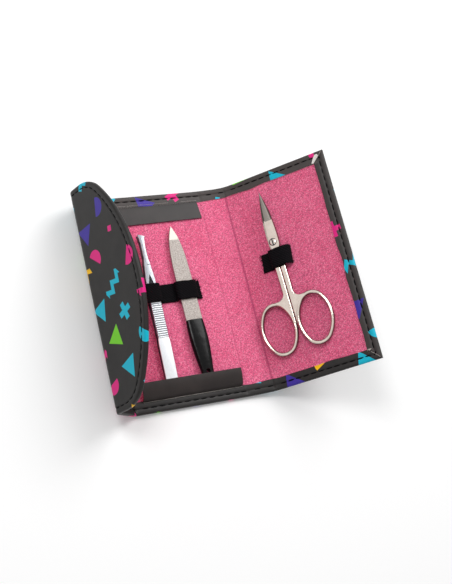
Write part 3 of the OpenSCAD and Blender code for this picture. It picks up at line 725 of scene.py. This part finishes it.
def laying_tree(name, bars):
    """Geometry Nodes that lay threads along a line, or bars across it, a set pitch apart."""
    tree = bpy.data.node_groups.new(name, "GeometryNodeTree")
    for label, kind in (
        ("Line", "Geometry"), ("Pitch", "Float"), ("Size", "Vector"), ("Finish", "Material")
    ):
        tree.interface.new_socket(label, in_out="INPUT", socket_type=f"NodeSocket{kind}")
    tree.interface.new_socket("Laid", in_out="OUTPUT", socket_type="NodeSocketGeometry")
    given = add(tree, "NodeGroupInput").node.outputs
    curve = add(tree, "GeometryNodeMeshToCurve", (given["Line"],))
    spaced = {"Curve": curve, "Length": given["Pitch"]}
    places = add(tree, "GeometryNodeCurveToPoints", spaced, mode="LENGTH").node.outputs
    if bars:
        rod = {"Vertices": 10, "Radius": 0.5, "Depth": 1.0}
        rod = add(tree, "GeometryNodeMeshCylinder", rod)
        turned = {"Geometry": rod, "Rotation": (0.0, math.pi / 2, 0.0)}
        laid = {"Instance": add(tree, "GeometryNodeTransform", turned)}
    else:
        bead = {"Segments": 8, "Rings": 6, "Radius": 0.5}
        laid = {"Instance": add(tree, "GeometryNodeMeshUVSphere", bead)}
        laid["Rotation"] = places["Rotation"]
    laid.update(Points=places["Points"], Scale=given["Size"])
    laid = add(tree, "GeometryNodeInstanceOnPoints", laid)
    real = add(tree, "GeometryNodeRealizeInstances", (laid,))
    painted = {"Geometry": real, "Material": given["Finish"]}
    add(tree, "NodeGroupOutput", (add(tree, "GeometryNodeSetMaterial", painted),))
    return tree


def along_line(name, lines, tree, sizes, place=None):
    """A piece made by a Geometry Nodes tree along lines of points."""
    points, edges = [], []
    for line in lines:
        start = len(points)
        points += [tuple(p) for p in line]
        edges += [(start + i, start + i + 1) for i in range(len(line) - 1)]
    mesh = bpy.data.meshes.new(name)
    mesh.from_pydata(points, edges, [])
    piece = put(name, mesh)
    piece["sharp"] = 60
    laid = piece.modifiers.new("laid", "NODES")
    laid.node_group = tree
    for item in tree.interface.items_tree:
        if item.in_out == "INPUT" and item.name in sizes:
            laid[item.identifier] = sizes[item.name]
    return settle(piece, place)


STITCHES = laying_tree("stitches", bars=False)
PITCH = 4.0
THREAD = (0.82, 0.82, 3.3)  # a stitch's width, height and length
inner = HALF - SEAM


def stitched(name, routes, pitch=PITCH):
    """Stitches on both faces of the case along flat routes.

    Real thread is about 0.5 mm thick. It is drawn thicker, so that it shows.
    """
    lines = []
    for route in routes:
        fine = finely(route, 1.5)
        lines += [[stand(s, y, w) for s, y in fine] for w in (0.3, EDGE_Z - 0.25)]
    sizes = {"Pitch": pitch, "Size": THREAD, "Finish": black_thread}
    return along_line(name, lines, STITCHES, sizes)


def both_ends(s0, s1):
    return [[(s0, y), (s1, y)] for y in (inner, -inner)]


# The pitch is a hair short of a seam's length, so that its last stitch is sewn too
for _, body, s0, s1 in PANELS:
    pitch = (s1 - s0 - PITCH) / round((s1 - s0 - PITCH) / PITCH)
    seams = both_ends(s0 + PITCH / 2 + pitch, s1 - PITCH / 2 - pitch)
    dress(stitched(f"{body}_stitches", seams, pitch * 0.9999), body, "printed_vinyl")

start, end = CREASE["spine_cover"] + 1.5 * PITCH, COVER_END - SEAM
seam = [(start, inner), (end, inner), (end, -inner), (start, -inner)]
dress(stitched("cover_stitches", [seam]), "cover", "printed_vinyl")
start = CREASE["side_flap"] - 1.5 * PITCH
seam = [(s + ns * SEAM, y + ny * SEAM) for (s, y), (ns, ny) in rim if s < start]
seam = [(start, inner)] + seam + [(start, -inner)]
dress(stitched("flap_stitches", [seam]), "flap", "printed_vinyl")
for crease in reversed(CREASES):
    name, middle = crease[:2]
    seams = both_ends(middle - PITCH / 2, middle + PITCH / 2)
    bend(stitched(f"{name}_stitches_fold", seams, PITCH * 0.9999))


# ---- Raw edges: the vinyl's pale backing shows where it is cut ----


def raw_lines(name, body, width, *lines):
    """Low pale ridges along lines of (s, y, w)."""
    points, faces = [], []
    for line in lines:
        start = len(points)
        fine = [Vector(p) for p in finely(line, 1.2)]
        for i, p in enumerate(fine):
            along = (fine[min(i + 1, len(fine) - 1)] - fine[max(i - 1, 0)]).normalized()
            side = Vector((along.y, -along.x, 0)) * width / 2
            side *= 0.75 + 0.5 * noise.noise(p / 2.5)
            p = p + Vector((0, 0, 0.06 * noise.noise(p / 3)))
            high = Vector((0, 0, 0.16))
            for corner in (side - high, side * 0.7 + high, -side * 0.7 + high, -side - high):
                points.append(stand(*(p + corner)))
        faces += capped(len(fine), 4, start)
    piece = settle(make(name, points, faces, [raw_edge], sharp=60), recalc=True)
    dress(piece, body, "printed_vinyl")


top = EDGE_Z - 0.05
low_y, high_y = -HALF + LIP - 0.6, HALF - LIP + 0.8  # where the lips end beside the strips
raw_lines(
    "back_raw_edges", "back", 0.17,
    [(-24.0, low_y, top + 0.1), (27.6, low_y, top + 0.1)],
    [(-24.0, high_y, top - 0.13), (27.6, high_y, top - 0.13)],
)
raw_lines(
    "cover_raw_edges", "cover", 0.32,
    [(COVER_END - 5.8, -HALF + 5.8, top - 0.1), (COVER_END - 0.8, -HALF + 0.8, top)],
    [(COVER_END - 2.6, HALF - 2.6, top - 0.15), (COVER_END - 0.8, HALF - 0.8, top)],
)
# A scrap of the backing stands up from the cover's mitre
tongue = [
    (-7.1, -5.6), (-5.6, -3.1), (-4.3, -1.7), (-3.0, -1.9), (-2.6, -3.0), (-4.2, -4.4), (-6.2, -6.0)
]
leaf = [
    [stand(COVER_END + s, HALF + y, w + 0.1 * (s + 7)) for s, y in tongue]
    for w in (top + 0.02, top + 0.22)
]
tongue = settle(loft("cover_raw_tongue", leaf, [backing], sharp=60), recalc=True)
dress(tongue, "cover", "printed_vinyl")


# ---- Pocket strips ----

STRIP_START, STRIP_END, STRIP_T = -24.35, 27.5, 0.6


def pocket(name, node, finish, side, width, rise, slant=0.0, taper=0.0):
    """A strip of vinyl, its root sewn under the turned edge, its free edge off the felt.

    It leaves the felt in a quarter of an oval, its ends slanting and one end narrower if asked.
    """
    points, flat, arcs = [], [], 14
    columns = steps(0, 1, 1 / 26)
    for i in range(arcs + 1):
        t = math.radians(90 * i / arcs)
        share = 1 - math.cos(t)
        up = FACE_Z + (rise + STRIP_T) * math.sin(t)
        narrow = width * math.tan(math.radians(slant)) * share
        for c in columns:
            x = STRIP_START + narrow + (STRIP_END - STRIP_START - 2 * narrow) * c
            wave = 0.12 * uneven(x, side, 6, 2.2) * share
            reach = (width + 0.5) * share * (1 - taper * c)
            points.append((x, side * (HALF - LIP + 0.5 - reach), up + wave))
            flat.append((x, 200 + width * i / arcs * 1.15))  # clear of the skins' own pattern
    piece = make(name, points, quads(arcs + 1, len(columns)), [finish], flat)
    if sum(p.normal.z for p in piece.data.polygons) < 0:
        piece.data.flip_normals()
    dress(thicken(piece, STRIP_T - 0.05), "back", "pocket_vinyl", node)


pocket("upper_strip", "upper_pocket", upper_strip_vinyl, 1, 10.2, 0.4, slant=-3.2, taper=0.08)
pocket("lower_strip", "lower_pocket", lower_strip_vinyl, -1, 8.2, 3.9)


# ---- Elastic ----

BAND_W = 9.6
BAND_T = 0.9  # its thickness between its ribs
FOOT = 0.5  # radius in which a band leaves the felt
# The band's section, as shares of its half width and of how far a face lies from its middle
UNDERSIDE = [(-1, -0.5), (-0.97, -0.92)] + [(k / 10, -1) for k in range(-8, 9, 2)]
UNDERSIDE += [(0.97, -0.92), (1, -0.5)]
SECTION = UNDERSIDE + [(-across, -out) for across, out in UNDERSIDE]


def hump(middle, width, top, corner, run_out=0.0):
    """Path over a tool, from the felt up, over and down: across, and height of the band's middle.

    With a run_out the far side comes down in one long slope instead.
    """
    half = width / 2 + 0.5
    left = [(-half - FOOT, BAND_Z)]
    for a in turns(30, 90, 30):
        left.append((-half - FOOT + FOOT * math.sin(a), BAND_Z + FOOT * (1 - math.cos(a))))
    for a in turns(0, 90, 18):
        left.append((-half + corner * (1 - math.cos(a)), top - corner * (1 - math.sin(a))))
    right = [(-x, z) for x, z in reversed(left)]
    if run_out:
        shoulder = 1.2  # how far in from the tool's side the slope starts
        span, drop = shoulder + FOOT + run_out, top - BAND_Z
        right = [(0.0, top + 0.12), (half / 2, top + 0.1)]
        for a in turns(0, 90, 10):
            right.append((half - shoulder + span * math.sin(a), top - drop * (1 - math.cos(a))))
    return [(middle + x, z) for x, z in left + right]


def elastic(name, path, place, seed, slant=0.0):
    """A band of woven elastic along a path seen from its edge, its flat ends slanting if asked."""
    fine = finely(path, 0.5)
    loops, flat, run = [], [], 0.0
    for i, (x, z) in enumerate(fine):
        before, after = fine[max(0, i - 1)], fine[min(len(fine) - 1, i + 1)]
        tangent = Vector((after[0] - before[0], after[1] - before[1])).normalized()
        if i:
            run += math.dist((x, z), fine[i - 1])
        slack = 0.3 * noise.noise(Vector((run / 4, seed, 0)))
        loop = []
        for across, out in SECTION:
            y = across * (BAND_W / 2 + slack * (1 if across > 0 else 0.7))
            lift = BAND_T / 2 * out
            askew = slant * y * part_of((abs(x) - 4.2) / 2.4)  # only beyond the hump
            at = Vector((x - tangent.y * lift + askew, y, z + tangent.x * lift))
            loop.append(place @ at)
            flat.append((run, y))
        loops.append(loop)
    return settle(loft(name, loops, [black_elastic], sharp=60, flat=flat), recalc=True)


def frayed(name, start, end, place, seed):
    """Loose threads at a band's two cut ends, which lie on the felt."""
    chance = random.Random(seed)
    points, faces = [], []
    for x, way in ((start, -1), (end, 1)):
        for k in range(22):
            # Most stand out of the cut end. The last few are the far end's corner tuft
            y = (min(k, 15) / 15 - 0.5) * (BAND_W - 0.2)
            inward = way * (0.3 if k < 16 else 0.5 * (k - 15.5))
            at = Vector((x - inward, y, BAND_Z + chance.uniform(-0.3, 0.3)))
            step = [way * chance.uniform(0.2, 0.5), chance.uniform(-0.2, 0.2)]
            step = Vector((*step, chance.uniform(-0.02, 0.12)))
            tuft = k > 14 and way > 0
            if tuft:
                at.z += 0.5
                step = [chance.uniform(-0.1, 0.2), chance.uniform(0.35, 0.7)]
                step = Vector((*step, chance.uniform(0.0, 0.15)))
            start_point = len(points)
            for i in range(4):
                r = (0.3 if tuft else 0.17) * (1 - i / 5)
                for a in full_turn(4):
                    points.append(place @ (at + Vector((0, r * math.cos(a), r * math.sin(a)))))
                at = at + step
                at += Vector((0, chance.uniform(-0.14, 0.14), chance.uniform(-0.1, 0.06)))
                at.z = max(at.z, FACE_Z + 0.1)
            faces += capped(4, 4, start_point)
    return settle(make(name, points, faces, [black_fibre], sharp=60), recalc=True)


TWEEZERS_X, FILE_X, FILE_Y, FILE_TURN = -8.15, 10.15, -13.8, 1.0
LOOP_Y = 2.0
file_x = FILE_X - (LOOP_Y + 13.6) * math.sin(math.radians(FILE_TURN))
path = [(TWEEZERS_X - 9.25, BAND_Z)]
path += hump(TWEEZERS_X - 0.5, 7.7, FACE_Z + 5.1, 2.2)
path += hump(file_x, 9.8, FACE_Z + 3.5, 1.7)
path.append((file_x + 7.9, BAND_Z))
band_place = Matrix.Translation((0, LOOP_Y, 0))
dress(elastic("tool_band", path, band_place, 1.0), "back", "elastic", "tool_elastic")
threads = frayed("tool_band_threads", path[0][0], path[-1][0], band_place, 5)
dress(threads, "back", "elastic")

COVER = raised("back_spine") @ raised("spine_cover")
SCISSORS = COVER @ Matrix.Translation((CREASE["spine_cover"] + 20.2, 17.0, 0))
SCISSORS = SCISSORS @ Matrix.Rotation(math.radians(1.3), 4, "Z")
band_place = SCISSORS @ Matrix.Translation((0, -8.6, 0))
start, end = -9.05, 6.75
path = [(start, BAND_Z)] + hump(0, 6.9, FACE_Z + 4.35, 2.3, run_out=end - 4.45)
band = elastic("scissors_band", path, band_place, 2.0, slant=0.13)
dress(band, "cover", "elastic", "scissors_elastic")
threads = frayed("scissors_band_threads", start, end, band_place, 6)
dress(threads, "cover", "elastic")
# The scissors only open once they are out of the band, which then lies flat on the felt. Here the
# band and its threads are only given meshes of their own
for piece in (band, threads):
    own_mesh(piece)


# ---- Scissors, drawn round their screw with the tips towards +y ----

SHANK, GAP, THICK = 2.8, 0.3, 2.6  # a shank's width, the gap between the two, their height
# A finger ring: half its width and height, the radius of its ends, its wire, and where it is
RING_A, RING_B, RING_R, WIRE, RING_Y, SPLAY = 9.7, 14.1, 7.6, 1.6, 44.2, 2.5
BLADE_Z = THICK / 2  # height at which the two halves lap
SIDE_R = ((RING_B - RING_R) ** 2 + RING_A**2 - RING_R**2) / (2 * (RING_A - RING_R))
RING_TURN = math.degrees(math.atan2(RING_B - RING_R, SIDE_R - RING_A))
ring_c = Vector((RING_A + GAP / 2, -RING_Y))
in_scissors = SCISSORS @ Matrix.Translation((0, 0, 2.7))


def arc(c, r, a0, a1, count):
    """Points round c, without the last one."""
    angles = [math.radians(a0 + (a1 - a0) * i / count) for i in range(count)]
    return [Vector((c[0] + r * math.cos(a), c[1] + r * math.sin(a))) for a in angles]


def squarish(a, wide, high, side_power, top_power):
    """A point of an oval that is filled out towards its box."""
    c, s = math.cos(a), math.sin(a)
    x = wide * math.copysign(abs(c) ** side_power, c)
    return x, high * math.copysign(abs(s) ** top_power, s)


def ring_line(inset):
    """Outline of a finger ring, as far in from its outside as asked."""
    c, e, t = SIDE_R - RING_A, RING_B - RING_R, RING_TURN
    line = arc((-c, 0), SIDE_R - inset, -t, t, 20)
    line += arc((0, e), RING_R - inset, t, 180 - t, 22)
    line += arc((c, 0), SIDE_R - inset, 180 - t, 180 + t, 20)
    line += arc((0, -e), RING_R - inset, 180 + t, 360 - t, 22)
    lean = Matrix.Rotation(math.radians(-SPLAY), 2)
    return [lean @ p + ring_c for p in line]


def prism(outline, z0, z1):
    """Loops of an upright prism with softened edges."""
    soft, loops = 0.25, []
    for z, inset in ((z0, soft), (z0 + soft, 0), (z1 - soft, 0), (z1, soft)):
        loop = []
        for i, p in enumerate(outline):
            n = Vector((0, 0))
            for q, r in ((outline[i - 1], p), (p, outline[(i + 1) % len(outline)])):
                d = (r - q).normalized()
                n += Vector((-d.y, d.x))
            n.normalize()
            loop.append((p.x + n.x * inset, p.y + n.y * inset, z))
        loops.append(loop)
    return loops


def ring_tube():
    """Loops round the ring's wire."""
    line, tube = ring_line(WIRE / 2 + 0.26), []
    for i, p in enumerate(line):
        along = (line[(i + 1) % len(line)] - line[i - 1]).normalized()
        loop = []
        for a in full_turn(16):
            across, up = squarish(a, WIRE / 2 + 0.2, THICK / 2 + 0.04, 0.85, 0.85)
            loop.append((p.x + along.y * across, p.y - along.x * across, THICK / 2 + up))
        tube.append(loop)
    return tube


def web_outline():
    """Outline of the shank and of the web that runs from it into the ring."""
    lean = math.radians(SPLAY)
    end_c = ring_c + (RING_B - RING_R) * Vector((math.sin(lean), math.cos(lean)))
    hollow_r = 3.6
    hollow_c = Vector((SHANK + hollow_r, 0))
    hollow_c.y = end_c.y + math.sqrt((hollow_r + RING_R) ** 2 - (end_c.x - hollow_c.x) ** 2)
    stop = 360 + math.degrees(math.atan2(end_c.y - hollow_c.y, end_c.x - hollow_c.x))
    outline = [Vector((GAP / 2, -7)), Vector((GAP / 2, -RING_Y))]
    # The web's lower side follows the ring's own wire up to the hollow
    wire = ring_line(WIRE / 2)
    near = min(range(len(wire)), key=lambda i: (wire[i] - outline[1]).length)
    for p in wire[near::-1] + wire[:near:-1]:
        if p.x > hollow_c.x + 2.5 and p.y > -RING_Y:
            break
        outline.append(p)
    return outline + arc(hollow_c, hollow_r, 180, stop, 14)[::-1] + [Vector((SHANK, -7))]


def handle(name, side):
    """Shank, web and finger ring of one half, run together like a forging."""
    ring = loft("ring", ring_tube(), [], closed=True)
    web = loft("web", prism(web_outline(), 0.06, THICK - 0.06), [])
    half = bpy.data.meshes.new(name)
    half.materials.append(nickel)
    work = bmesh.new()
    for part in (ring, web):
        work.from_mesh(part.data)
        bpy.data.objects.remove(part)
    bmesh.ops.recalc_face_normals(work, faces=work.faces)
    if side < 0:
        bmesh.ops.scale(work, verts=work.verts, vec=(-1, 1, 1))
        bmesh.ops.reverse_faces(work, faces=work.faces)
    work.to_mesh(half)
    work.free()
    piece = put(name, half)
    piece["sharp"] = 60
    forged = piece.modifiers.new("forged", "REMESH")
    forged.mode, forged.voxel_size, forged.use_smooth_shade = "VOXEL", 0.19, True
    eased = piece.modifiers.new("eased", "SMOOTH")
    eased.factor, eased.iterations = 0.5, 4
    return settle(piece, in_scissors)


def blade(name, z0, flip, back, edge):
    """One blade with its lap: flat below, hollow ground and satin towards the tip."""
    tip, heel, across = 28.3, 9.4, 9  # its two ends, and the strips its face is drawn in
    loops, tones = [], []
    ys = steps(-heel, 0, 0.9)[:-1] + steps(0, tip - 0.06, 0.55)
    for y in ys:
        t = y / tip
        if y < 0:
            left = -edge + (edge - 0.25) * ease(-y / heel) * 0.9
            right = back - (back - 0.2) * ease((-y - 1) / 7.5) * 0.9
        else:
            left = -edge * (1 - t) - 2.4 * t * (1 - t)
            right = back * (1 - t) + 4.0 * t * (1 - t)
        top = BLADE_Z - 0.6 * max(0.0, (y - 11) / (tip - 11)) ** 1.1
        low = min(0.25, top / 3)
        loop = [(left, 0), (left, low)]
        for k in range(across + 1):
            f = k / across
            x = left + (right - left) * (0.05 + 0.9 * f)
            hollow = 0.22 * (1 - f) ** 2 * part_of((y + 1) / 8) + 0.1 * f**4
            loop.append((x, max(low + 0.02, top - hollow)))
        loop += [(right, low), (right, 0)]
        if flip:
            loop = [(-x, BLADE_Z - z) for x, z in loop]
        loops.append([(x, y, z0 + z) for x, z in loop])
    # The ground face starts in an arc, and its two rims are painted dark, a painted reflection
    for y in ys[:-1]:
        for k in range(len(loops[0])):
            f = (k - 2) / across
            start = 11.2 + (2.2 * (f - 0.55) ** 2 if 0 <= f <= 1 else 0)
            rim = f < 0.1 or f > 0.88
            tones.append((2 if rim else 1) if y > start else 0)
    tones += [0, 1]
    finishes = [nickel, ground_nickel, rim_reflection_nickel]
    piece = loft(name, loops, finishes, sharp=35, slots=tones)
    return settle(piece, in_scissors, recalc=True)


def joined(name, *parts):
    """One piece of several that are one body."""
    first = parts[0]
    with bpy.context.temp_override(
        active_object=first, object=first,
        selected_objects=list(parts), selected_editable_objects=list(parts),
    ):
        bpy.ops.object.join()
    first.name = name
    first.data.name = name
    return first


def faced(name, *parts):
    """One piece, with a note of how far each point faces up or down, for the painted reflections on
    its plating.
    """
    up = (in_scissors.to_3x3() @ Vector((0, 0, 1))).normalized()
    for part in parts:
        note = part.data.attributes.new("facing", "FLOAT", "POINT")
        note.data.foreach_set("value", [abs(v.normal.dot(up)) for v in part.data.vertices])
    return joined(name, *parts)


def lathed(profile):
    """Loops of a shape turned on a lathe, from radius and height."""
    return [[(r * math.cos(a), r * math.sin(a), z) for a in full_turn(32)] for r, z in profile]


left = faced(
    "left_half", handle("left_handle", -1), blade("upper_blade", BLADE_Z, False, 3.4, 2.2)
)
dress(left, "scissors", "scissor_steel", "scissors_left_half")
right = faced("right_half", handle("right_handle", 1), blade("lower_blade", 0.0, True, 2.75, 1.5))
dress(right, "scissors_arm", "scissor_steel", "scissors_right_half")

# Screw: a domed head with a slot, and the gap round it. The slot's floor and a flat ring in the gap
# are painted shade
HEAD_R, SLOT = 1.66, 0.34  # the head's radius, and half its slot's width
profile = [(1.1, 0.02), (1.1, 1.9), (1.72, 1.9), (1.72, 2.64), (HEAD_R, 2.74)]
profile += [(HEAD_R * math.cos(a), 2.72 + 0.16 * math.sin(a)) for a in turns(25, 85, 20)]
screw = loft("screw", lathed(profile), [nickel, shaded_steel], sharp=35)
slot = [(-SLOT, -3), (SLOT, -3), (SLOT, 3), (-SLOT, 3)]
cut_out(screw, upright(slot, 2.42, 3.2), scale=1)
# Painted shade on the slot's floor
paint(screw, 1, lambda x, y, z: abs(x) < SLOT + 0.001 and 2.4 < z < 2.8 and abs(y) < 1.7)
screw.data.transform(Matrix.Scale(MM, 4) @ in_scissors)
gap = lathed([(1.7, 2.3), (2.02, 2.3), (2.02, 2.625), (1.7, 2.635)])
gap = settle(loft("gap", gap, [shaded_steel], sharp=35), in_scissors, recalc=True)
screw = faced("scissors_screw_steel", screw, gap)
dress(screw, "scissors", "scissor_steel", "scissors_screw")


# ---- Tweezers, drawn from their joined end with the tips towards +y ----

TWEEZERS_L = 81.4
COLLAR = 65.2  # where the arm's flanges end and the flat tip starts
GRIP_START, GRIP_END, RIB_PITCH = 27.0, 47.0, 1.1
STRIP = 0.9  # thickness of the strip steel
TIP_SLANT = 1.1
BOW = 57  # from here on both arms bow up
in_tweezers = Matrix.Translation((TWEEZERS_X, -48.1, FACE_Z + 0.3))
HALF_WIDTHS = [
    (0, 2.45), (0.8, 3.05), (23, 3.05), (27, 2.85), (49, 2.85), (57, 2.4),
    (65, 1.68), (69, 1.05), (76, 1.05), (79, 1.35), (TWEEZERS_L, 1.8),
]
# An arm's section, as shares of its half width and its thickness
ARM_SECTION = [
    (-1, 0.15), (-0.96, 0.0), (-0.5, 0), (0, 0), (0.5, 0), (0.96, 0), (1, 0.15),
    (1, 0.85), (0.96, 1), (0.5, 1), (0, 1), (-0.5, 1), (-0.96, 1), (-1, 0.85),
]


def half_width(y):
    for (a, p), (b, q) in zip(HALF_WIDTHS, HALF_WIDTHS[1:]):
        if y <= b:
            return p + (q - p) * ease((y - a) / (b - a))
    return HALF_WIDTHS[-1][1]


def upper_under(y):
    """Height of the upper arm's underside."""
    rise = 1.0 + 1.9 * math.sin(math.radians(90 * min(1, y / 44)))
    return rise + 0.5 * lower_under(y)


def lower_under(y):
    """Height of the lower arm's underside."""
    return max(0.0, (y - BOW) / (TWEEZERS_L - BOW))


def arm(name, under, top, finishes):
    """A strip of spring steel, a little crowned, with a notched grip and a flared slanted tip."""
    loops = []
    for y in steps(0, COLLAR - 0.2, 0.9) + steps(COLLAR + 0.2, TWEEZERS_L, 0.9):
        notch = 0.0
        if GRIP_START < y < GRIP_END:
            notch = 0.12 * abs(math.sin(math.pi * y / RIB_PITCH))
        loop = []
        for x, q in ARM_SECTION:
            slant = TIP_SLANT / 2 * (x + 1) * ease((y - TWEEZERS_L + 3) / 3)
            outer = q > 0.5 if top else q < 0.5
            lift = (-0.12 if top else 0.12) * x * x if outer else 0.0
            loop.append((x * (half_width(y) - notch), y - slant, under(y) + q * STRIP + lift))
        loops.append(loop)
    return loft(name, loops, finishes, sharp=35)


RIBS = laying_tree("ribs", bars=True)


def ribbed(name, under, top):
    """The grip's ribs, a bar to each notch, on the face that a finger holds."""
    line = [
        (0, y, under(y) + (STRIP - 0.03 if top else 0.03))
        for y in steps(GRIP_START + 0.5, GRIP_END - 0.8, RIB_PITCH)
    ]
    sizes = {"Pitch": RIB_PITCH, "Size": (5.1, 0.66, 0.5), "Finish": satin_steel}
    return along_line(name, [line], RIBS, sizes, in_tweezers)


finishes = [satin_steel, groove_shade_steel, tip_steel, shaded_steel]
upper = arm("upper_arm", upper_under, True, finishes)
# Painted shade: the grip's top face under and between the ribs is a darker steel
paint(upper, 1, lambda x, y, z: y > GRIP_START + 0.2 and z - upper_under(y) > 0.6)
paint(upper, 2, lambda x, y, z: y > GRIP_END - 0.4)
# Painted shade: a dark line crosses the arm at its collar, where the steel is folded
paint(upper, 3, lambda x, y, z: abs(y - COLLAR) < 0.3 and x > -0.4)
window = [(-1.7, 50.2), (1.7, 50.2), (1.7, 54.0), (0.0, 60.0), (-1.7, 54.0)]
cut_out(upper, upright(window, 1, 8), in_tweezers)
upper = joined("tweezers_upper_arm_steel", upper, ribbed("upper_ribs", upper_under, True))
dress(upper, "tweezers_upper", "tweezer_steel", "tweezers_upper_arm")
# Painted shade: the lower arm's inner face, which lies in the shade, is dark steel
lower = arm("lower_arm", lower_under, False, [satin_steel, shaded_steel])
paint(lower, 1, lambda x, y, z: z - lower_under(y) > 0.3)
settle(lower, in_tweezers, recalc=True)
lower = joined("tweezers_lower_arm_steel", lower, ribbed("lower_ribs", lower_under, False))
dress(lower, "tweezers", "tweezer_steel", "tweezers_lower_arm")


# ---- Nail file, drawn from where its handle starts, with the tip towards +y ----

FILE_L = 50.6
HANDLE_H = 1.9  # half the handle's thickness, in which the blade sits halfway up
in_file = Matrix.Translation((FILE_X, FILE_Y, FACE_Z + 0.3 + HANDLE_H))
in_file = in_file @ Matrix.Rotation(math.radians(FILE_TURN), 4, "Z")
loops = []
for y in steps(-10, 44, 2) + steps(44.5, FILE_L - 0.1, 0.4):
    # Its sides run almost straight and close in a pointed arch; its tang is narrower
    h = 4.3 * (1 - (1 - min(1, (FILE_L - max(y, 0)) / FILE_L)) ** 6) if y > -2.5 else 2.5
    h = max(h, 0.12)
    e = min(0.14, h / 3)
    half = [(-h, -0.32), (-h + e, -0.5), (h - e, -0.5), (h, -0.32)]
    loops.append([(x, y, z) for x, z in half] + [(-x, y, -z) for x, z in half])
file_blade = settle(loft("file_blade_steel", loops, [grit_steel], sharp=50), in_file, recalc=True)
dress(file_blade, "file", "file_steel", "file_blade")

# The handle: how far down it, half its width and half its thickness
STATIONS = [
    (0.0, 4.15, 1.35), (0.25, 4.4, 1.5), (3, 4.6, 1.66), (9.5, 4.8, 1.9), (14, 4.6, 1.9),
    (20, 4.03, 1.86), (25, 3.4, 1.7), (28.5, 3.05, 1.5), (30, 2.85, 1.42), (30.7, 2.4, 1.2),
    (30.95, 1.8, 0.9),
]
loops = []
for d in steps(0, 1, 0.25) + steps(1.5, 28.5, 0.9) + steps(28.8, 30.95, 0.25):
    (p, *before), (q, *after) = next(
        pair for pair in zip(STATIONS, STATIONS[1:]) if pair[0][0] <= d <= pair[1][0]
    )
    wide, high = (m + (n - m) * (d - p) / (q - p) for m, n in zip(before, after))
    oval = [squarish(t, wide, high, 0.6, 0.75) for t in full_turn(28)]
    loops.append([(x, -d, z) for x, z in oval])
moulded = loft("file_handle_moulded", loops, [gloss_black], sharp=55)
hole = [(1.1 * math.cos(a), -26.8 + 1.1 * math.sin(a)) for a in full_turn(24)]
cut_out(moulded, upright(hole, -4, 4), in_file)
dress(moulded, "file", "handle_plastic", "file_handle")

# Boards and the closure stay as the CAD has them, inside the panels
inside = {f"{panel}_board": greyboard for panel in ("back", "spine", "cover", "side", "flap")}
inside.update(closure_magnet=closure_metal, closure_keeper=closure_metal)
for node, finish in inside.items():
    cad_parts[node].data.materials.clear()
    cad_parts[node].data.materials.append(finish)


# ---- Table, light and camera ----


def to_camera(tree):
    """1 for what the camera sees, straight or mirrored in the metal, and 0 for what lights."""
    seen = add(tree, "LightPath").node.outputs
    return add(tree, "Math MAXIMUM", (seen["Is Camera Ray"], seen["Is Glossy Ray"]))


# The camera sees the table a little paler than it is, so that it runs out to white
table, tree = substance(
    "pale_table", Roughness=0.9, Specular_IOR_Level=0.1,
    Base_Color=linear("#fbfbfb"), Emission_Color=(1, 1, 1, 1),
)
glow = add(tree, "Math MULTIPLY", (to_camera(tree), 0.05))
tree.links.new(glow, tree.nodes["Principled BSDF"].inputs["Emission Strength"])
mesh = bpy.data.meshes.new("table_top")
corners = [(-1.5, -1.5, 0), (1.5, -1.5, 0), (1.5, 1.5, 0), (-1.5, 1.5, 0)]
mesh.from_pydata(corners, [], [(0, 1, 2, 3)])
mesh.materials.append(table)
table_top = put("table_top", mesh)
table_top.location.z = -0.0001

# A white ceiling over dark walls, which the metal mirrors as its dark edges
world = bpy.data.worlds.new("studio")
bpy.context.scene.world = world
world.use_nodes = True
tree = world.node_tree
up = add(tree, "SeparateXYZ", (add(tree, "TexCoord", out="Generated"),), "Z")
room = add(tree, "ValToRGB", (up,), stops=[(0.1, 0.03), (0.3, 0.95), (0.6, 0.94), (1.0, 0.84)])
strength = add(tree, "Math MULTIPLY_ADD", (to_camera(tree), 0.4, 0.52))
for socket, source in (("Color", room), ("Strength", strength)):
    tree.links.new(source, tree.nodes["Background"].inputs[socket])


def aim(name, data, at, towards, roll=0.0):
    """Puts a lamp or the camera in its place, pointed at something."""
    holder = put(name, data)
    way = Vector(towards) - Vector(at)
    turn = way.to_track_quat("-Z", "Y").to_matrix().to_4x4()
    holder.matrix_world = Matrix.Translation(at) @ turn @ Matrix.Rotation(roll, 4, "Z")
    return holder


for name, at, power, size in (
    ("right_light", (0.44, 0.40, 0.62), 3.9, 0.45),
    ("left_light", (-0.27, 0.25, 0.66), 1.9, 0.25),
):
    light = bpy.data.lights.new(name, "AREA")
    light.energy, light.size = power, size
    aim(name, light, at, (0.01, 0, 0))
camera = bpy.data.cameras.new("camera")
camera.lens, camera.sensor_width = 59.93, 36.0
at, towards = (-0.16366, -0.13521, 0.43860), (0.032478, -0.000275, 0)
bpy.context.scene.camera = aim("camera", camera, at, towards, roll=math.radians(44.7298))
bpy.context.scene.view_settings.view_transform = "Standard"

bpy.context.view_layer.update()
